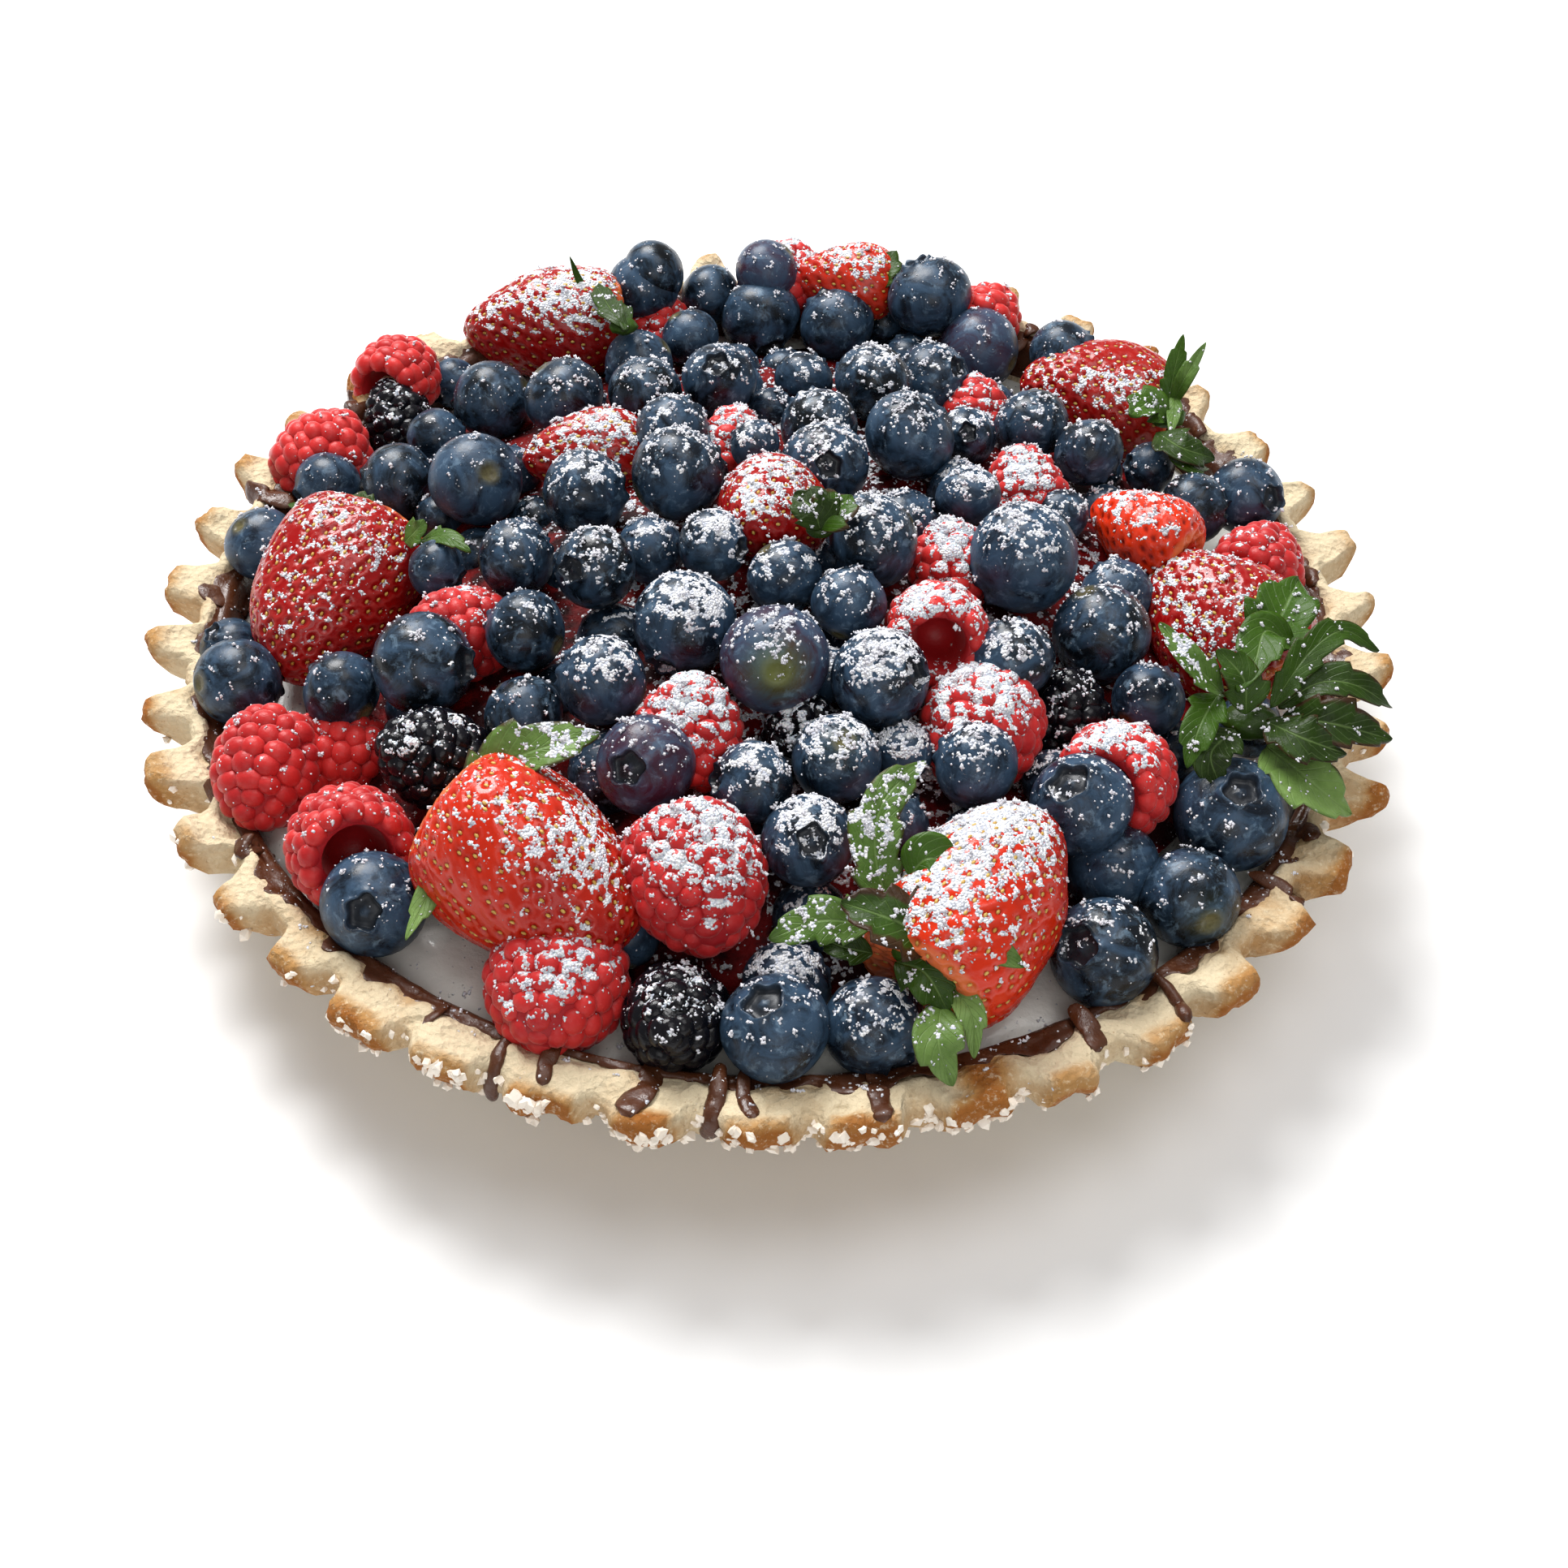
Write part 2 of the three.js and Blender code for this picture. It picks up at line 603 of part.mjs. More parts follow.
LEAF_CLUSTERS.forEach((cluster, index) => {
  addMesh(`leaves_${index + 1}`, clearOf(leafCluster(cluster).intersect(inside), kept), PAINT.leaf);
  kept.push(leafCluster(cluster));
});

export default tart;
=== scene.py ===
"""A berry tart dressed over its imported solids: a fluted shortcrust shell lined with chocolate, filled
with cream and heaped with blueberries, raspberries, dark bramble berries and strawberries with their
leaves, under icing sugar. Lengths are millimetres; make_piece() turns them into metres."""

import math
from functools import partialmethod

import bpy
import numpy as np
from mathutils import Matrix, Vector
from mathutils.bvhtree import BVHTree


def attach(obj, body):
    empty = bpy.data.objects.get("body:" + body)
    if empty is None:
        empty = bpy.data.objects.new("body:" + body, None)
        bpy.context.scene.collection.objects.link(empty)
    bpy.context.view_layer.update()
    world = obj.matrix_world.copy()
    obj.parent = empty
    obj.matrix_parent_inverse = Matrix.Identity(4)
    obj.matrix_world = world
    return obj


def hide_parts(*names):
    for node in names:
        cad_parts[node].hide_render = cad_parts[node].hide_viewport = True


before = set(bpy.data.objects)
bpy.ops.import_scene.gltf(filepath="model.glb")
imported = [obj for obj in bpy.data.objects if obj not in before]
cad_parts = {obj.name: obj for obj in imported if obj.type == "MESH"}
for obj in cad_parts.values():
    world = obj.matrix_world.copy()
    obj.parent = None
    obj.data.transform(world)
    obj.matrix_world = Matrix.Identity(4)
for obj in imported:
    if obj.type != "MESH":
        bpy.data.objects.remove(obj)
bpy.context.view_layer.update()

MM = 0.001
TURN = 2 * math.pi
GOLDEN_ANGLE = math.radians(137.508)

# ---- The driving dimensions
FLUTES = 42
TIP_RADIUS = 118              # over the flutes
BASE_RADIUS = 88
RIM_HEIGHT = 31
BACK_RISE = 4                 # the rim stands this much higher at the back
FLOOR_THICKNESS = 6
FLOOR_RADIUS = 91
WALL_RADIUS = 106.2           # inside, above the bend
WALL_BEND = 22
LINING = 1.6
LINING_CLEARANCE = 0.45
CREAM_CLEARANCE = 0.4
CREAM_TOP = 24
EDGE_CENTRE = 32              # height of the berry centres at the heap's edge
HEAP_RISE = 23
HEAP_RADIUS = 95
CORE_RADIUS = 90
CORE_BACK = 3
CORE_DEPTH = 8                # below the berry centres
REST_ON_WALL = 108.5
GAP = 0.3
CLUMP_SIZE = 1.9              # of icing sugar
GRAIN_SIZE = 0.46
SPECK_SIZE = 0.42


# ---- Numbers
def smooth(low, high, value):
    """0 below low, 1 above high and a soft step between."""
    share = np.clip((value - low) / (high - low), 0, 1)
    return share * share * (3 - 2 * share)


CELL_PRIMES = np.array([73856093, 19349663, 83492791])
CURVE_STEPS = 12              # between two knots


def lumps(points, size, seed=0):
    """Soft noise from -1 to 1 whose lumps are about size across."""
    places = np.asarray(points, float) / size + 31.7 * seed
    cells = np.floor(places).astype(np.int64)
    share = places - cells
    share = share * share * (3 - 2 * share)
    total = np.zeros(len(places))
    for corner in np.ndindex(2, 2, 2):
        mixed = np.bitwise_xor.reduce((cells + corner) * CELL_PRIMES, axis=1)
        mixed = (mixed ^ (mixed >> 13)) * 1274126177
        weight = np.where(corner, share, 1 - share).prod(axis=1)
        total += weight * (((mixed >> 8) & 0xFFFF) / 32767.5 - 1)
    return total


def rough(points, size, octaves, seed=0):
    """Noise of several sizes, each half the last."""
    return sum(lumps(points, size / 2**octave, seed + octave) * 0.55**octave for octave in range(octaves))


def through(knots, count):
    """count points evenly along a smooth curve through the knots."""
    knots = np.asarray(knots, float)
    ends = np.vstack([2 * knots[0] - knots[1], knots, 2 * knots[-1] - knots[-2]])
    share = np.linspace(0, 1, CURVE_STEPS, endpoint=False)[:, None]
    dense = []
    for a, b, c, d in zip(ends, ends[1:], ends[2:], ends[3:]):
        dense.append(0.5 * (2 * b + (c - a) * share + (2 * a - 5 * b + 4 * c - d) * share**2
                            + (3 * b - a - 3 * c + d) * share**3))
    dense = np.vstack([*dense, knots[-1:]])
    lengths = np.r_[0, np.cumsum(np.linalg.norm(np.diff(dense, axis=0), axis=1))]
    wanted = np.linspace(0, lengths[-1], count)
    return np.column_stack([np.interp(wanted, lengths, dense[:, axis]) for axis in range(dense.shape[1])])


def unit(vector):
    vector = np.asarray(vector, float)
    return vector / np.linalg.norm(vector, axis=-1, keepdims=True)


def frame_on(axis, turn=0.0):
    """Rows x, y and z of a frame whose z is the axis."""
    z = unit(axis)
    helper = np.array([0.0, 0.0, 1.0]) if abs(z[2]) < 0.9 else np.array([0.0, 1.0, 0.0])
    x = unit(np.cross(helper, z))
    y = np.cross(z, x)
    return np.array([x * math.cos(turn) + y * math.sin(turn), y * math.cos(turn) - x * math.sin(turn), z])


def direction(bearing, tilt):
    bearing, tilt = math.radians(bearing), math.radians(tilt)
    return np.array([math.cos(tilt) * math.cos(bearing), math.cos(tilt) * math.sin(bearing), math.sin(tilt)])


# ---- Meshes
def grid_faces(rows, columns, closed):
    """Triangles over rows of points; the columns close into a ring if asked."""
    across = np.arange(columns if closed else columns - 1)
    row = np.arange(rows - 1)[:, None] * columns
    a, b = row + across, row + (across + 1) % columns
    c, d = b + columns, a + columns
    return np.vstack([np.stack([a, b, c], -1).reshape(-1, 3), np.stack([a, c, d], -1).reshape(-1, 3)])


def spun_faces(rows, columns):
    """A first pole, rows of rings and a last pole, counted in that order."""
    ring = np.arange(columns)
    after = (ring + 1) % columns
    last = rows * columns + 1
    first_fan = np.stack([np.zeros_like(ring), 1 + after, 1 + ring], -1)
    last_fan = np.stack([np.full_like(ring, last), last - columns + ring, last - columns + after], -1)
    return np.vstack([first_fan, 1 + grid_faces(rows, columns, True), last_fan])


def around(radius, angle, height=0.0):
    """Places at a radius, an angle and a height round the vertical axis."""
    return np.stack([radius * np.cos(angle), radius * np.sin(angle), height + 0 * radius * angle], -1)


def angles(columns):
    return np.arange(columns) * TURN / columns


def spun(radii, heights, columns, first, last):
    """A closed form from rings of these radii and heights; first and last are the heights of its poles."""
    radii, heights = ([np.broadcast_to(part, columns) for part in parts] for parts in (radii, heights))
    rings = around(np.array(radii), angles(columns), np.array(heights)).reshape(-1, 3)
    return np.vstack([[0, 0, first], rings, [0, 0, last]]), spun_faces(len(radii), columns)


def ball_grid(rings, columns):
    polar = np.linspace(0, math.pi, rings + 2)[1:-1]
    points, faces = spun(np.sin(polar), np.cos(polar), columns, 1, -1)
    return points, faces[:, ::-1]


def numbered(name, forms):
    return [f"{name}_{k + 1}" for k in range(len(forms))]


def normals_of(points, faces):
    a, b, c = (points[faces[:, k]] for k in range(3))
    flat = np.cross(b - a, c - a)
    total = np.zeros_like(points)
    for axis in range(3):
        for k in range(3):
            total[:, axis] += np.bincount(faces[:, k], flat[:, axis], len(points))
    return total / np.maximum(np.linalg.norm(total, axis=1, keepdims=True), 1e-12)


class Shape:
    """Points, triangles and values at the points, gathered from many forms of one kind."""

    def __init__(self):
        self.points, self.faces, self.values, self.total = [], [], {}, 0

    def add(self, points, faces, **values):
        self.points.append(points)
        self.faces.append(faces + self.total)
        self.total += len(points)
        for name, value in values.items():
            self.values.setdefault(name, []).append(np.broadcast_to(value, len(points)).astype(float))


def dusting(points):
    """How much of an upward face the sugar covers at a place, from 0 to 1."""
    x, y = points[:, 0], points[:, 1]
    middle = 1 - smooth(25, 98, np.hypot(x - 14, 0.9 * (y - 2)))
    front = 1 - smooth(20, 65, np.hypot(x - 10, y + 75))
    return np.clip(0.10 + 0.36 * middle + 0.14 * front + 0.08 * lumps(points, 20, 3), 0, 1)


def sugar_field(points, rise, sweet):
    """The share of the surface that is white at each point; rise is how far the face looks up."""
    return np.clip(dusting(points) * sweet, 0, 0.95) * smooth(0.12, 0.92, rise)


def put(name, data):
    thing = bpy.data.objects.new(name, data)
    bpy.context.scene.collection.objects.link(thing)
    return thing


def make_piece(name, shape, material, slot, *nodes):
    points, faces = np.vstack(shape.points), np.vstack(shape.faces)
    values = {key: np.concatenate(parts) for key, parts in shape.values.items()}
    normals, sweet = normals_of(points, faces), values.pop("sweet", 0.0)
    rise = 0.45 * normals[:, 2] + 0.55 * values.pop("rise") if "rise" in values else normals[:, 2]
    values["sugar"] = sugar_field(points, rise, sweet)
    values["sprinkle"] = np.minimum(sweet, 1) * smooth(-0.1, 0.6, normals[:, 2])
    mesh = bpy.data.meshes.new(name)
    mesh.vertices.add(len(points))
    mesh.vertices.foreach_set("co", (points * MM).ravel())
    mesh.loops.add(faces.size)
    mesh.loops.foreach_set("vertex_index", faces.ravel())
    mesh.polygons.add(len(faces))
    mesh.polygons.foreach_set("loop_start", np.arange(0, faces.size, 3))
    mesh.polygons.foreach_set("use_smooth", np.ones(len(faces), bool))
    for key, numbers in values.items():
        mesh.attributes.new(key, "FLOAT", "POINT").data.foreach_set("value", numbers)
    mesh.update(calc_edges=True)
    mesh.materials.append(material)
    piece = put(name, mesh)
    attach(piece, "root")
    if nodes:
        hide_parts(*nodes)
    return piece


def one_form(name, form, material, slot, *nodes, **values):
    """A piece made of a single form."""
    shape = Shape()
    shape.add(*form, **values)
    return make_piece(name, shape, material, slot, *nodes)


# ---- Materials
def paint(code):
    """Linear colour of a web colour."""
    parts = [int(code[k:k + 2], 16) / 255 for k in (0, 2, 4)]
    return [p / 12.92 if p <= 0.04045 else ((p + 0.055) / 1.055) ** 2.4 for p in parts] + [1.0]


class Nodes:
    """Short words for building one node material."""

    def __init__(self, name):
        self.material = bpy.data.materials.new(name)
        self.material.use_nodes = True
        self.tree = self.material.node_tree
        self.tree.nodes.clear()
        self.place = self.add("ShaderNodeTexCoord").outputs["Object"]

    def add(self, kind, inputs=None, **settings):
        """A new node; its inputs are links, numbers or web colours."""
        node = self.tree.nodes.new(kind)
        for key, value in settings.items():
            setattr(node, key, value)
        for key, value in (inputs or {}).items():
            if isinstance(value, bpy.types.NodeSocket):
                self.tree.links.new(value, node.inputs[key])
            else:
                node.inputs[key].default_value = paint(value) if isinstance(value, str) else value
        return node

    def value(self, name):
        return self.add("ShaderNodeAttribute", attribute_name=name).outputs["Fac"]

    def noise(self, size, detail=3.0, roughness=0.55, warp=0.0, place=None):
        inputs = {"Vector": place or self.place, "Scale": 1 / (size * MM), "Detail": detail,
                  "Roughness": roughness, "Distortion": warp}
        return self.add("ShaderNodeTexNoise", inputs).outputs["Fac"]

    def cells(self, size):
        return self.add("ShaderNodeTexVoronoi", {"Vector": self.place, "Scale": 1 / (size * MM)}).outputs

    def chance(self, cells, channel):
        """A number from 0 to 1 that is the same all over a cell."""
        return self.add("ShaderNodeSeparateColor", {"Color": cells["Color"]}).outputs[channel]

    def maths(self, operation, a, b=0.0):
        return self.add("ShaderNodeMath", {0: a, 1: b}, operation=operation).outputs[0]

    plus = partialmethod(maths, "ADD")
    minus = partialmethod(maths, "SUBTRACT")
    times = partialmethod(maths, "MULTIPLY")

    def step(self, value, low, high, from_value=0.0, to_value=1.0):
        inputs = {"Value": value, "From Min": low, "From Max": high, "To Min": from_value, "To Max": to_value}
        return self.add("ShaderNodeMapRange", inputs, interpolation_type="SMOOTHSTEP").outputs["Result"]

    def mix(self, share, a, b):
        return self.add("ShaderNodeMix", {0: share, 6: a, 7: b}, data_type="RGBA").outputs[2]

    def blend(self, share, a, b):
        return self.add("ShaderNodeMix", {0: share, 2: a, 3: b}, data_type="FLOAT").outputs[0]

    def over(self, base, colour, field, low, high, most=1.0):
        """The colour laid over the base, the more the higher the field is between low and high."""
        return self.mix(self.step(field, low, high, 0.0, most), base, colour)

    def finish(self, colour, roughness, height, depth, **constants):
        """height is from 0 to 1 and depth its size in millimetres."""
        bump = self.add("ShaderNodeBump", {"Height": height, "Distance": depth * MM, "Strength": 1.0})
        inputs = {"Base Color": colour, "Roughness": roughness, "Normal": bump.outputs[0]}
        inputs.update({key.replace("_", " "): value for key, value in constants.items()})
        shader = self.add("ShaderNodeBsdfPrincipled", inputs)
        output = self.add("ShaderNodeOutputMaterial")
        self.tree.links.new(shader.outputs[0], output.inputs[0])
        return self.material

    def sugared(self, colour, roughness, height, depth, **constants):
        """Icing sugar in clumps of whole grains, crowded where the piece's own value "sugar" is high."""
        grain, dust = self.cells(GRAIN_SIZE), self.cells(SPECK_SIZE)
        clump = self.noise(CLUMP_SIZE, 3.0, 0.58, place=grain["Position"])
        needed = self.minus(0.73, self.times(self.value("sugar"), 0.42))
        mask = self.step(self.minus(clump, needed), 0.0, 0.015)
        speck = self.minus(self.times(self.value("sprinkle"), 0.035), self.chance(dust, 1))
        core = self.step(dust["Distance"], 0.25, 0.5, 1.0, 0.0)
        mask = self.maths("MAXIMUM", mask, self.times(self.step(speck, 0.0, 0.02), core))
        # Each grain gets a random tone plus painted shade: grey-blue towards its cell border, white in its
        # middle.
        grain_tone_and_shade = self.minus(self.chance(grain, 0), self.times(grain["Distance"], 0.9))
        white = self.mix(self.step(grain_tone_and_shade, -0.6, 0.6), "c3c8d6", "ffffff")
        bulk = self.times(mask, self.minus(1.15, grain["Distance"]))
        level = self.plus(self.times(height, depth), self.times(bulk, 0.5))
        base = self.mix(mask, colour, white)
        return self.finish(base, self.blend(mask, roughness, 0.9), level, 1.0, **constants)


def crust_material():
    n = Nodes("shortcrust")
    bake = n.step(n.plus(n.value("bake"), n.noise(9, 4, 0.6)), 0.55, 1.35)
    base = n.mix(bake, "dac9a8", "b38650")
    base = n.over(base, "9c6028", n.plus(n.value("bake"), n.noise(16, 3, 0.6)), 1.2, 1.5)
    base = n.over(base, "e8d8b8", n.noise(1.1, 5, 0.7), 0.52, 0.7, 0.55)
    base = n.over(base, "8e6230", n.noise(0.8, 3, 0.6), 0.62, 0.75, 0.5)
    crumb = n.plus(n.noise(2.6, 6, 0.68), n.times(n.cells(1.3)["Distance"], 0.5))
    return n.sugared(base, 0.82, crumb, 1.0, Specular_IOR_Level=0.2)


def chocolate_material():
    n = Nodes("set chocolate")
    base = n.mix(n.noise(6, 4, 0.6), "3a1c0e", "5a331d")
    base = n.over(base, "8a6650", n.noise(2.2, 5, 0.7), 0.58, 0.75, 0.6)
    shine = n.step(n.noise(3, 3, 0.6), 0.35, 0.7, 0.24, 0.55)
    return n.sugared(base, shine, n.noise(2.4, 4, 0.6), 0.35, Specular_IOR_Level=0.4)


def cream_material():
    """Cream, with small dark spots painted as the shade inside bubbles."""
    n = Nodes("cream")
    base = n.mix(n.noise(7, 3, 0.5), "dcdbd2", "f2f1ea")
    # Painted shade: dark dots at the cell centres stand for shaded bubble holes.
    base = n.mix(n.step(n.cells(3.4)["Distance"], 0.0, 0.07, 0.7, 0.0), base, "6a5f55")
    return n.sugared(base, 0.32, n.noise(3, 4, 0.6), 0.3, Coat_Weight=0.2)


def core_shade_material():
    # Deep red of buried berries, darkened as painted shade: this core shows in the gaps between the berries.
    n = Nodes("heap inside")
    base = n.over("2a070a", "6e0c0e", n.noise(6, 3, 0.5), 0.42, 0.6)
    return n.sugared(base, 0.55, n.noise(2, 4, 0.6), 0.6, Specular_IOR_Level=0.1)


def blueberry_material():
    """Dark skin under patches of pale bloom; "crown", "scar" and "green" mark those places."""
    n = Nodes("blueberry skin")
    tint = n.value("tint")
    skin = n.mix(tint, "080c10", "121b28")
    skin = n.over(skin, "3a2030", n.value("ripe"), 0.5, 1.0)
    bloom = n.plus(n.noise(6.5, 6, 0.66, 0.9), n.times(tint, 0.08))
    skin = n.over(skin, "3a536c", bloom, 0.40, 0.70, 0.8)
    skin = n.over(skin, "7690a6", n.noise(2.4, 6, 0.7, 0.5), 0.52, 0.70, 0.5)
    skin = n.over(skin, "0a0e14", n.noise(1.5, 5, 0.7), 0.60, 0.72, 0.6)
    skin = n.mix(n.value("crown"), skin, n.mix(n.noise(0.9, 3, 0.6), "0b0d12", "2b3038"))
    skin = n.mix(n.value("scar"), skin, n.mix(n.noise(0.8, 3), "2a1f16", "7d7650"))
    skin = n.mix(n.value("green"), skin, "6b7632")
    gloss = n.step(bloom, 0.35, 0.75, 0.24, 0.42)
    return n.sugared(skin, gloss, n.noise(1.2, 4, 0.6), 0.06, Specular_IOR_Level=0.28)


def drupelet_material(name, deep, bright, pale, crevice_shade, gloss):
    """Drupelets, with painted shade and a painted sheen: deep between and towards their rims so they look
    bright on top, and pale where they turn away from the viewer, as a sheen on their downy skin.
    """
    n = Nodes(name)
    skin = n.mix(n.plus(n.times(n.value("tint"), 0.7), n.noise(4, 3)), deep, bright)
    # Painted shade: the deep colour darkens each drupelet towards its rim, and the core between them.
    skin = n.over(skin, deep, n.value("edge"), 0.55, 1.0, crevice_shade)
    # Painted sheen: a pale colour where the surface turns away from the viewer.
    rim = n.add("ShaderNodeLayerWeight", {"Blend": 0.35}).outputs["Facing"]
    skin = n.over(skin, pale, rim, 0.30, 0.95, 0.5)
    return n.sugared(skin, gloss, n.noise(0.7, 3, 0.6), 0.08, Specular_IOR_Level=0.25, Subsurface_Weight=0.15,
                     Subsurface_Radius=(0.002, 0.0006, 0.0005), Subsurface_Scale=1.0)


def strawberry_material():
    n = Nodes("strawberry flesh")
    ripe = n.plus(n.value("ripe"), n.times(n.noise(9, 3), 0.35))
    red = n.over("d6300c", "940a0a", ripe, 0.35, 1.0)
    # Painted shade darkens the seed pits.
    red = n.over(red, "5e0507", n.value("pit"), 0.2, 0.9, 0.75)
    # Painted highlight: a pale ring on the raised rims round the pits.
    red = n.over(red, "d8625a", n.value("ridge"), 0.3, 1.0, 0.15)
    red = n.over(red, "d86a3c", n.value("calyx"), 0.55, 1.0)
    gloss = n.step(n.noise(2.5, 3), 0.4, 0.7, 0.12, 0.28)
    return n.sugared(red, gloss, n.noise(1.6, 4, 0.6), 0.10, Specular_IOR_Level=0.32)


def seed_material():
    n = Nodes("strawberry seed")
    base = n.mix(n.value("tint"), "b98a34", "e0bd62")
    base = n.over(base, "8f5a1c", n.noise(0.5, 3), 0.5, 0.8)
    return n.finish(base, 0.4, n.noise(0.3, 2), 0.05)


def leaf_material():
    """The value "tone" runs from dark to pale green and "brown" is how far the edge has dried."""
    n = Nodes("leaf")
    tone = n.plus(n.value("tone"), n.times(n.noise(5, 4, 0.6), 0.5))
    green = n.over("141f03", "35540e", tone, 0.15, 0.85)
    green = n.over(green, "7d9a55", tone, 0.85, 1.5)
    across = n.value("across")
    out = n.maths("ABSOLUTE", across)
    rib = n.step(out, 0.0, 0.09, 1.0, 0.0)
    slant = n.minus(n.times(n.value("along"), 8.0), n.times(out, 2.6))
    vein = n.step(n.maths("PINGPONG", slant, 0.5), 0.0, 0.11, 1.0, 0.0)
    veins = n.maths("MAXIMUM", rib, n.times(vein, 0.5))
    green = n.mix(n.times(veins, 0.35), green, "7f9a5c")
    edge = n.plus(n.plus(out, n.times(n.noise(3, 3), 0.5)), n.times(n.value("brown"), 0.55))
    green = n.over(green, "3a2114", edge, 1.25, 1.45, 0.9)
    height = n.plus(n.times(veins, -0.6), n.noise(1.4, 4, 0.6))
    return n.sugared(green, 0.4, height, 0.22, Specular_IOR_Level=0.2)


def sugar_material():
    n = Nodes("icing sugar")
    base = n.mix(n.noise(1.2, 4, 0.6), "dfdfe9", "faf9fd")
    return n.finish(base, 0.8, n.noise(0.35, 4, 0.7), 0.25, Sheen_Weight=0.2)


def crystal_material():
    n = Nodes("coarse sugar")
    base = n.mix(n.noise(2.5, 3), "e8d5bd", "faf4ea")
    return n.finish(base, 0.2, n.noise(0.8, 3), 0.12, Coat_Weight=0.4)


def floor_material():
    n = Nodes("pale floor")
    base = n.mix(n.noise(90, 2), "f4f4f4", "f8f8f8")
    return n.finish(base, 0.7, n.noise(2, 2), 0.01)


def surface_of(pieces):
    points, faces, total = [], [], 0
    for piece in pieces:
        mesh = piece.data
        own = np.empty(len(mesh.vertices) * 3)
        mesh.vertices.foreach_get("co", own)
        corners = np.empty(len(mesh.loops), int)
        mesh.loops.foreach_get("vertex_index", corners)
        points.append(own.reshape(-1, 3) / MM)
        faces.append(corners.reshape(-1, 3) + total)
        total += len(mesh.vertices)
    return BVHTree.FromPolygons(np.vstack(points).tolist(), np.vstack(faces).tolist())


# ---- Sight lines: the berries are laid out as the camera sees them
SLIDE_NEARER = 1.5
SLIDE_FARTHER = 9
SETTLING_PASSES = 60
PUSH_EACH, PUSH_ALONE = 0.3, 0.4      # of an overlap: two balls part, or one leaves a fixed one
STEP_NEARER = 0.5
SINK = 0.5                    # how deep a low berry may sit in the cream
EYE = np.array([3.0, -310.0, 316.0])          # where the camera stands
LOOK_DOWN = math.radians(46.9)
ROLL = math.radians(1.2)
REACH = 2700                  # the camera's focal length, in pixels of the picture
MIDDLE = 966                  # half the picture's width
AHEAD = np.array([0, math.cos(LOOK_DOWN), -math.sin(LOOK_DOWN)])
ABOVE = np.array([0, math.sin(LOOK_DOWN), math.cos(LOOK_DOWN)])
ACROSS = np.array([1.0, 0, 0])
VIEW_RIGHT = ACROSS * math.cos(ROLL) + ABOVE * math.sin(ROLL)
VIEW_UP = ABOVE * math.cos(ROLL) - ACROSS * math.sin(ROLL)


def sight_line(across, down):
    return AHEAD + VIEW_RIGHT * (across - MIDDLE) / REACH + VIEW_UP * (MIDDLE - down) / REACH


def seen_at(point):
    """Where a point shows, as across and down, and how far ahead it is."""
    offset = np.asarray(point, float) - EYE
    depth = offset @ AHEAD
    return MIDDLE + REACH * offset @ VIEW_RIGHT / depth, MIDDLE - REACH * offset @ VIEW_UP / depth, depth


SEARCH_HEIGHT, HALVINGS = 120.0, 40


def on_level(across, down, height):
    """Where a sight line meets a height."""
    sight = sight_line(across, down)
    return EYE + sight * ((height - EYE[2]) / sight[2])


def heap_height(x, y):
    return EDGE_CENTRE + HEAP_RISE * max(0, 1 - (x * x + y * y) / HEAP_RADIUS**2)


def on_heap(across, down, lift):
    """Where a sight line meets the heap raised by the lift, found by halving."""
    low, high = 0.0, SEARCH_HEIGHT
    for _ in range(HALVINGS):
        middle = (low + high) / 2
        x, y, _ = on_level(across, down, middle)
        if heap_height(x, y) + lift > middle:
            low = middle
        else:
            high = middle
    return on_level(across, down, low)


class Ball:
    """A berry as a ball that can slide along its sight line."""

    def __init__(self, across, down, lift, width):
        self.mark = (across, down)
        self.radius = width / 2
        self.sight = sight_line(across, down)
        self.floor = CREAM_TOP + self.radius - SINK
        height = max(self.floor, on_heap(across, down, lift)[2])
        self.home = self.far = (height - EYE[2]) / self.sight[2]
        self.at = tuple(EYE + self.sight * self.far)

    def move(self, far):
        lowest = (self.floor - EYE[2]) / self.sight[2]
        self.far = min(max(far, self.home - SLIDE_NEARER), self.home + SLIDE_FARTHER, lowest)
        self.at = tuple(EYE + self.sight * self.far)

    def keep_inside(self):
        """At the back it comes nearer along its sight line, and at the front it moves straight in."""
        most = REST_ON_WALL - self.radius
        while self.at[1] > 0 and math.hypot(*self.at[:2]) > most:
            self.far -= STEP_NEARER
            self.at = tuple(EYE + self.sight * self.far)
        out = math.hypot(*self.at[:2])
        if out > most:
            self.at = (self.at[0] * most / out, self.at[1] * most / out, self.at[2])


def loose_ball(radius, at):
    """A ball at a fixed place, which has no mark in the picture."""
    ball = Ball.__new__(Ball)
    ball.radius, ball.at, ball.mark = radius, at, None
    return ball


def overlap(ball, other):
    return ball.radius + other.radius + GAP - math.dist(ball.at, other.at)


def settle(balls, fixed):
    """Slides the balls along their sight lines until neighbours lie clear."""
    for _ in range(SETTLING_PASSES):
        for index, ball in enumerate(balls):
            for other in balls[index + 1:]:
                over = overlap(ball, other)
                if over <= 0:
                    continue
                step = over * (PUSH_EACH if ball.far < other.far else -PUSH_EACH)
                ball.move(ball.far - step)
                other.move(other.far + step)
            for other in fixed:
                over = overlap(ball, other)
                if over <= 0:
                    continue
                ahead = sum((o - b) * s for o, b, s in zip(other.at, ball.at, ball.sight))
                ball.move(ball.far - math.copysign(over * PUSH_ALONE, ahead))
    for ball in balls:
        ball.keep_inside()


BALL_SHARE = 0.48             # of the width, for the two balls that stand for a long berry


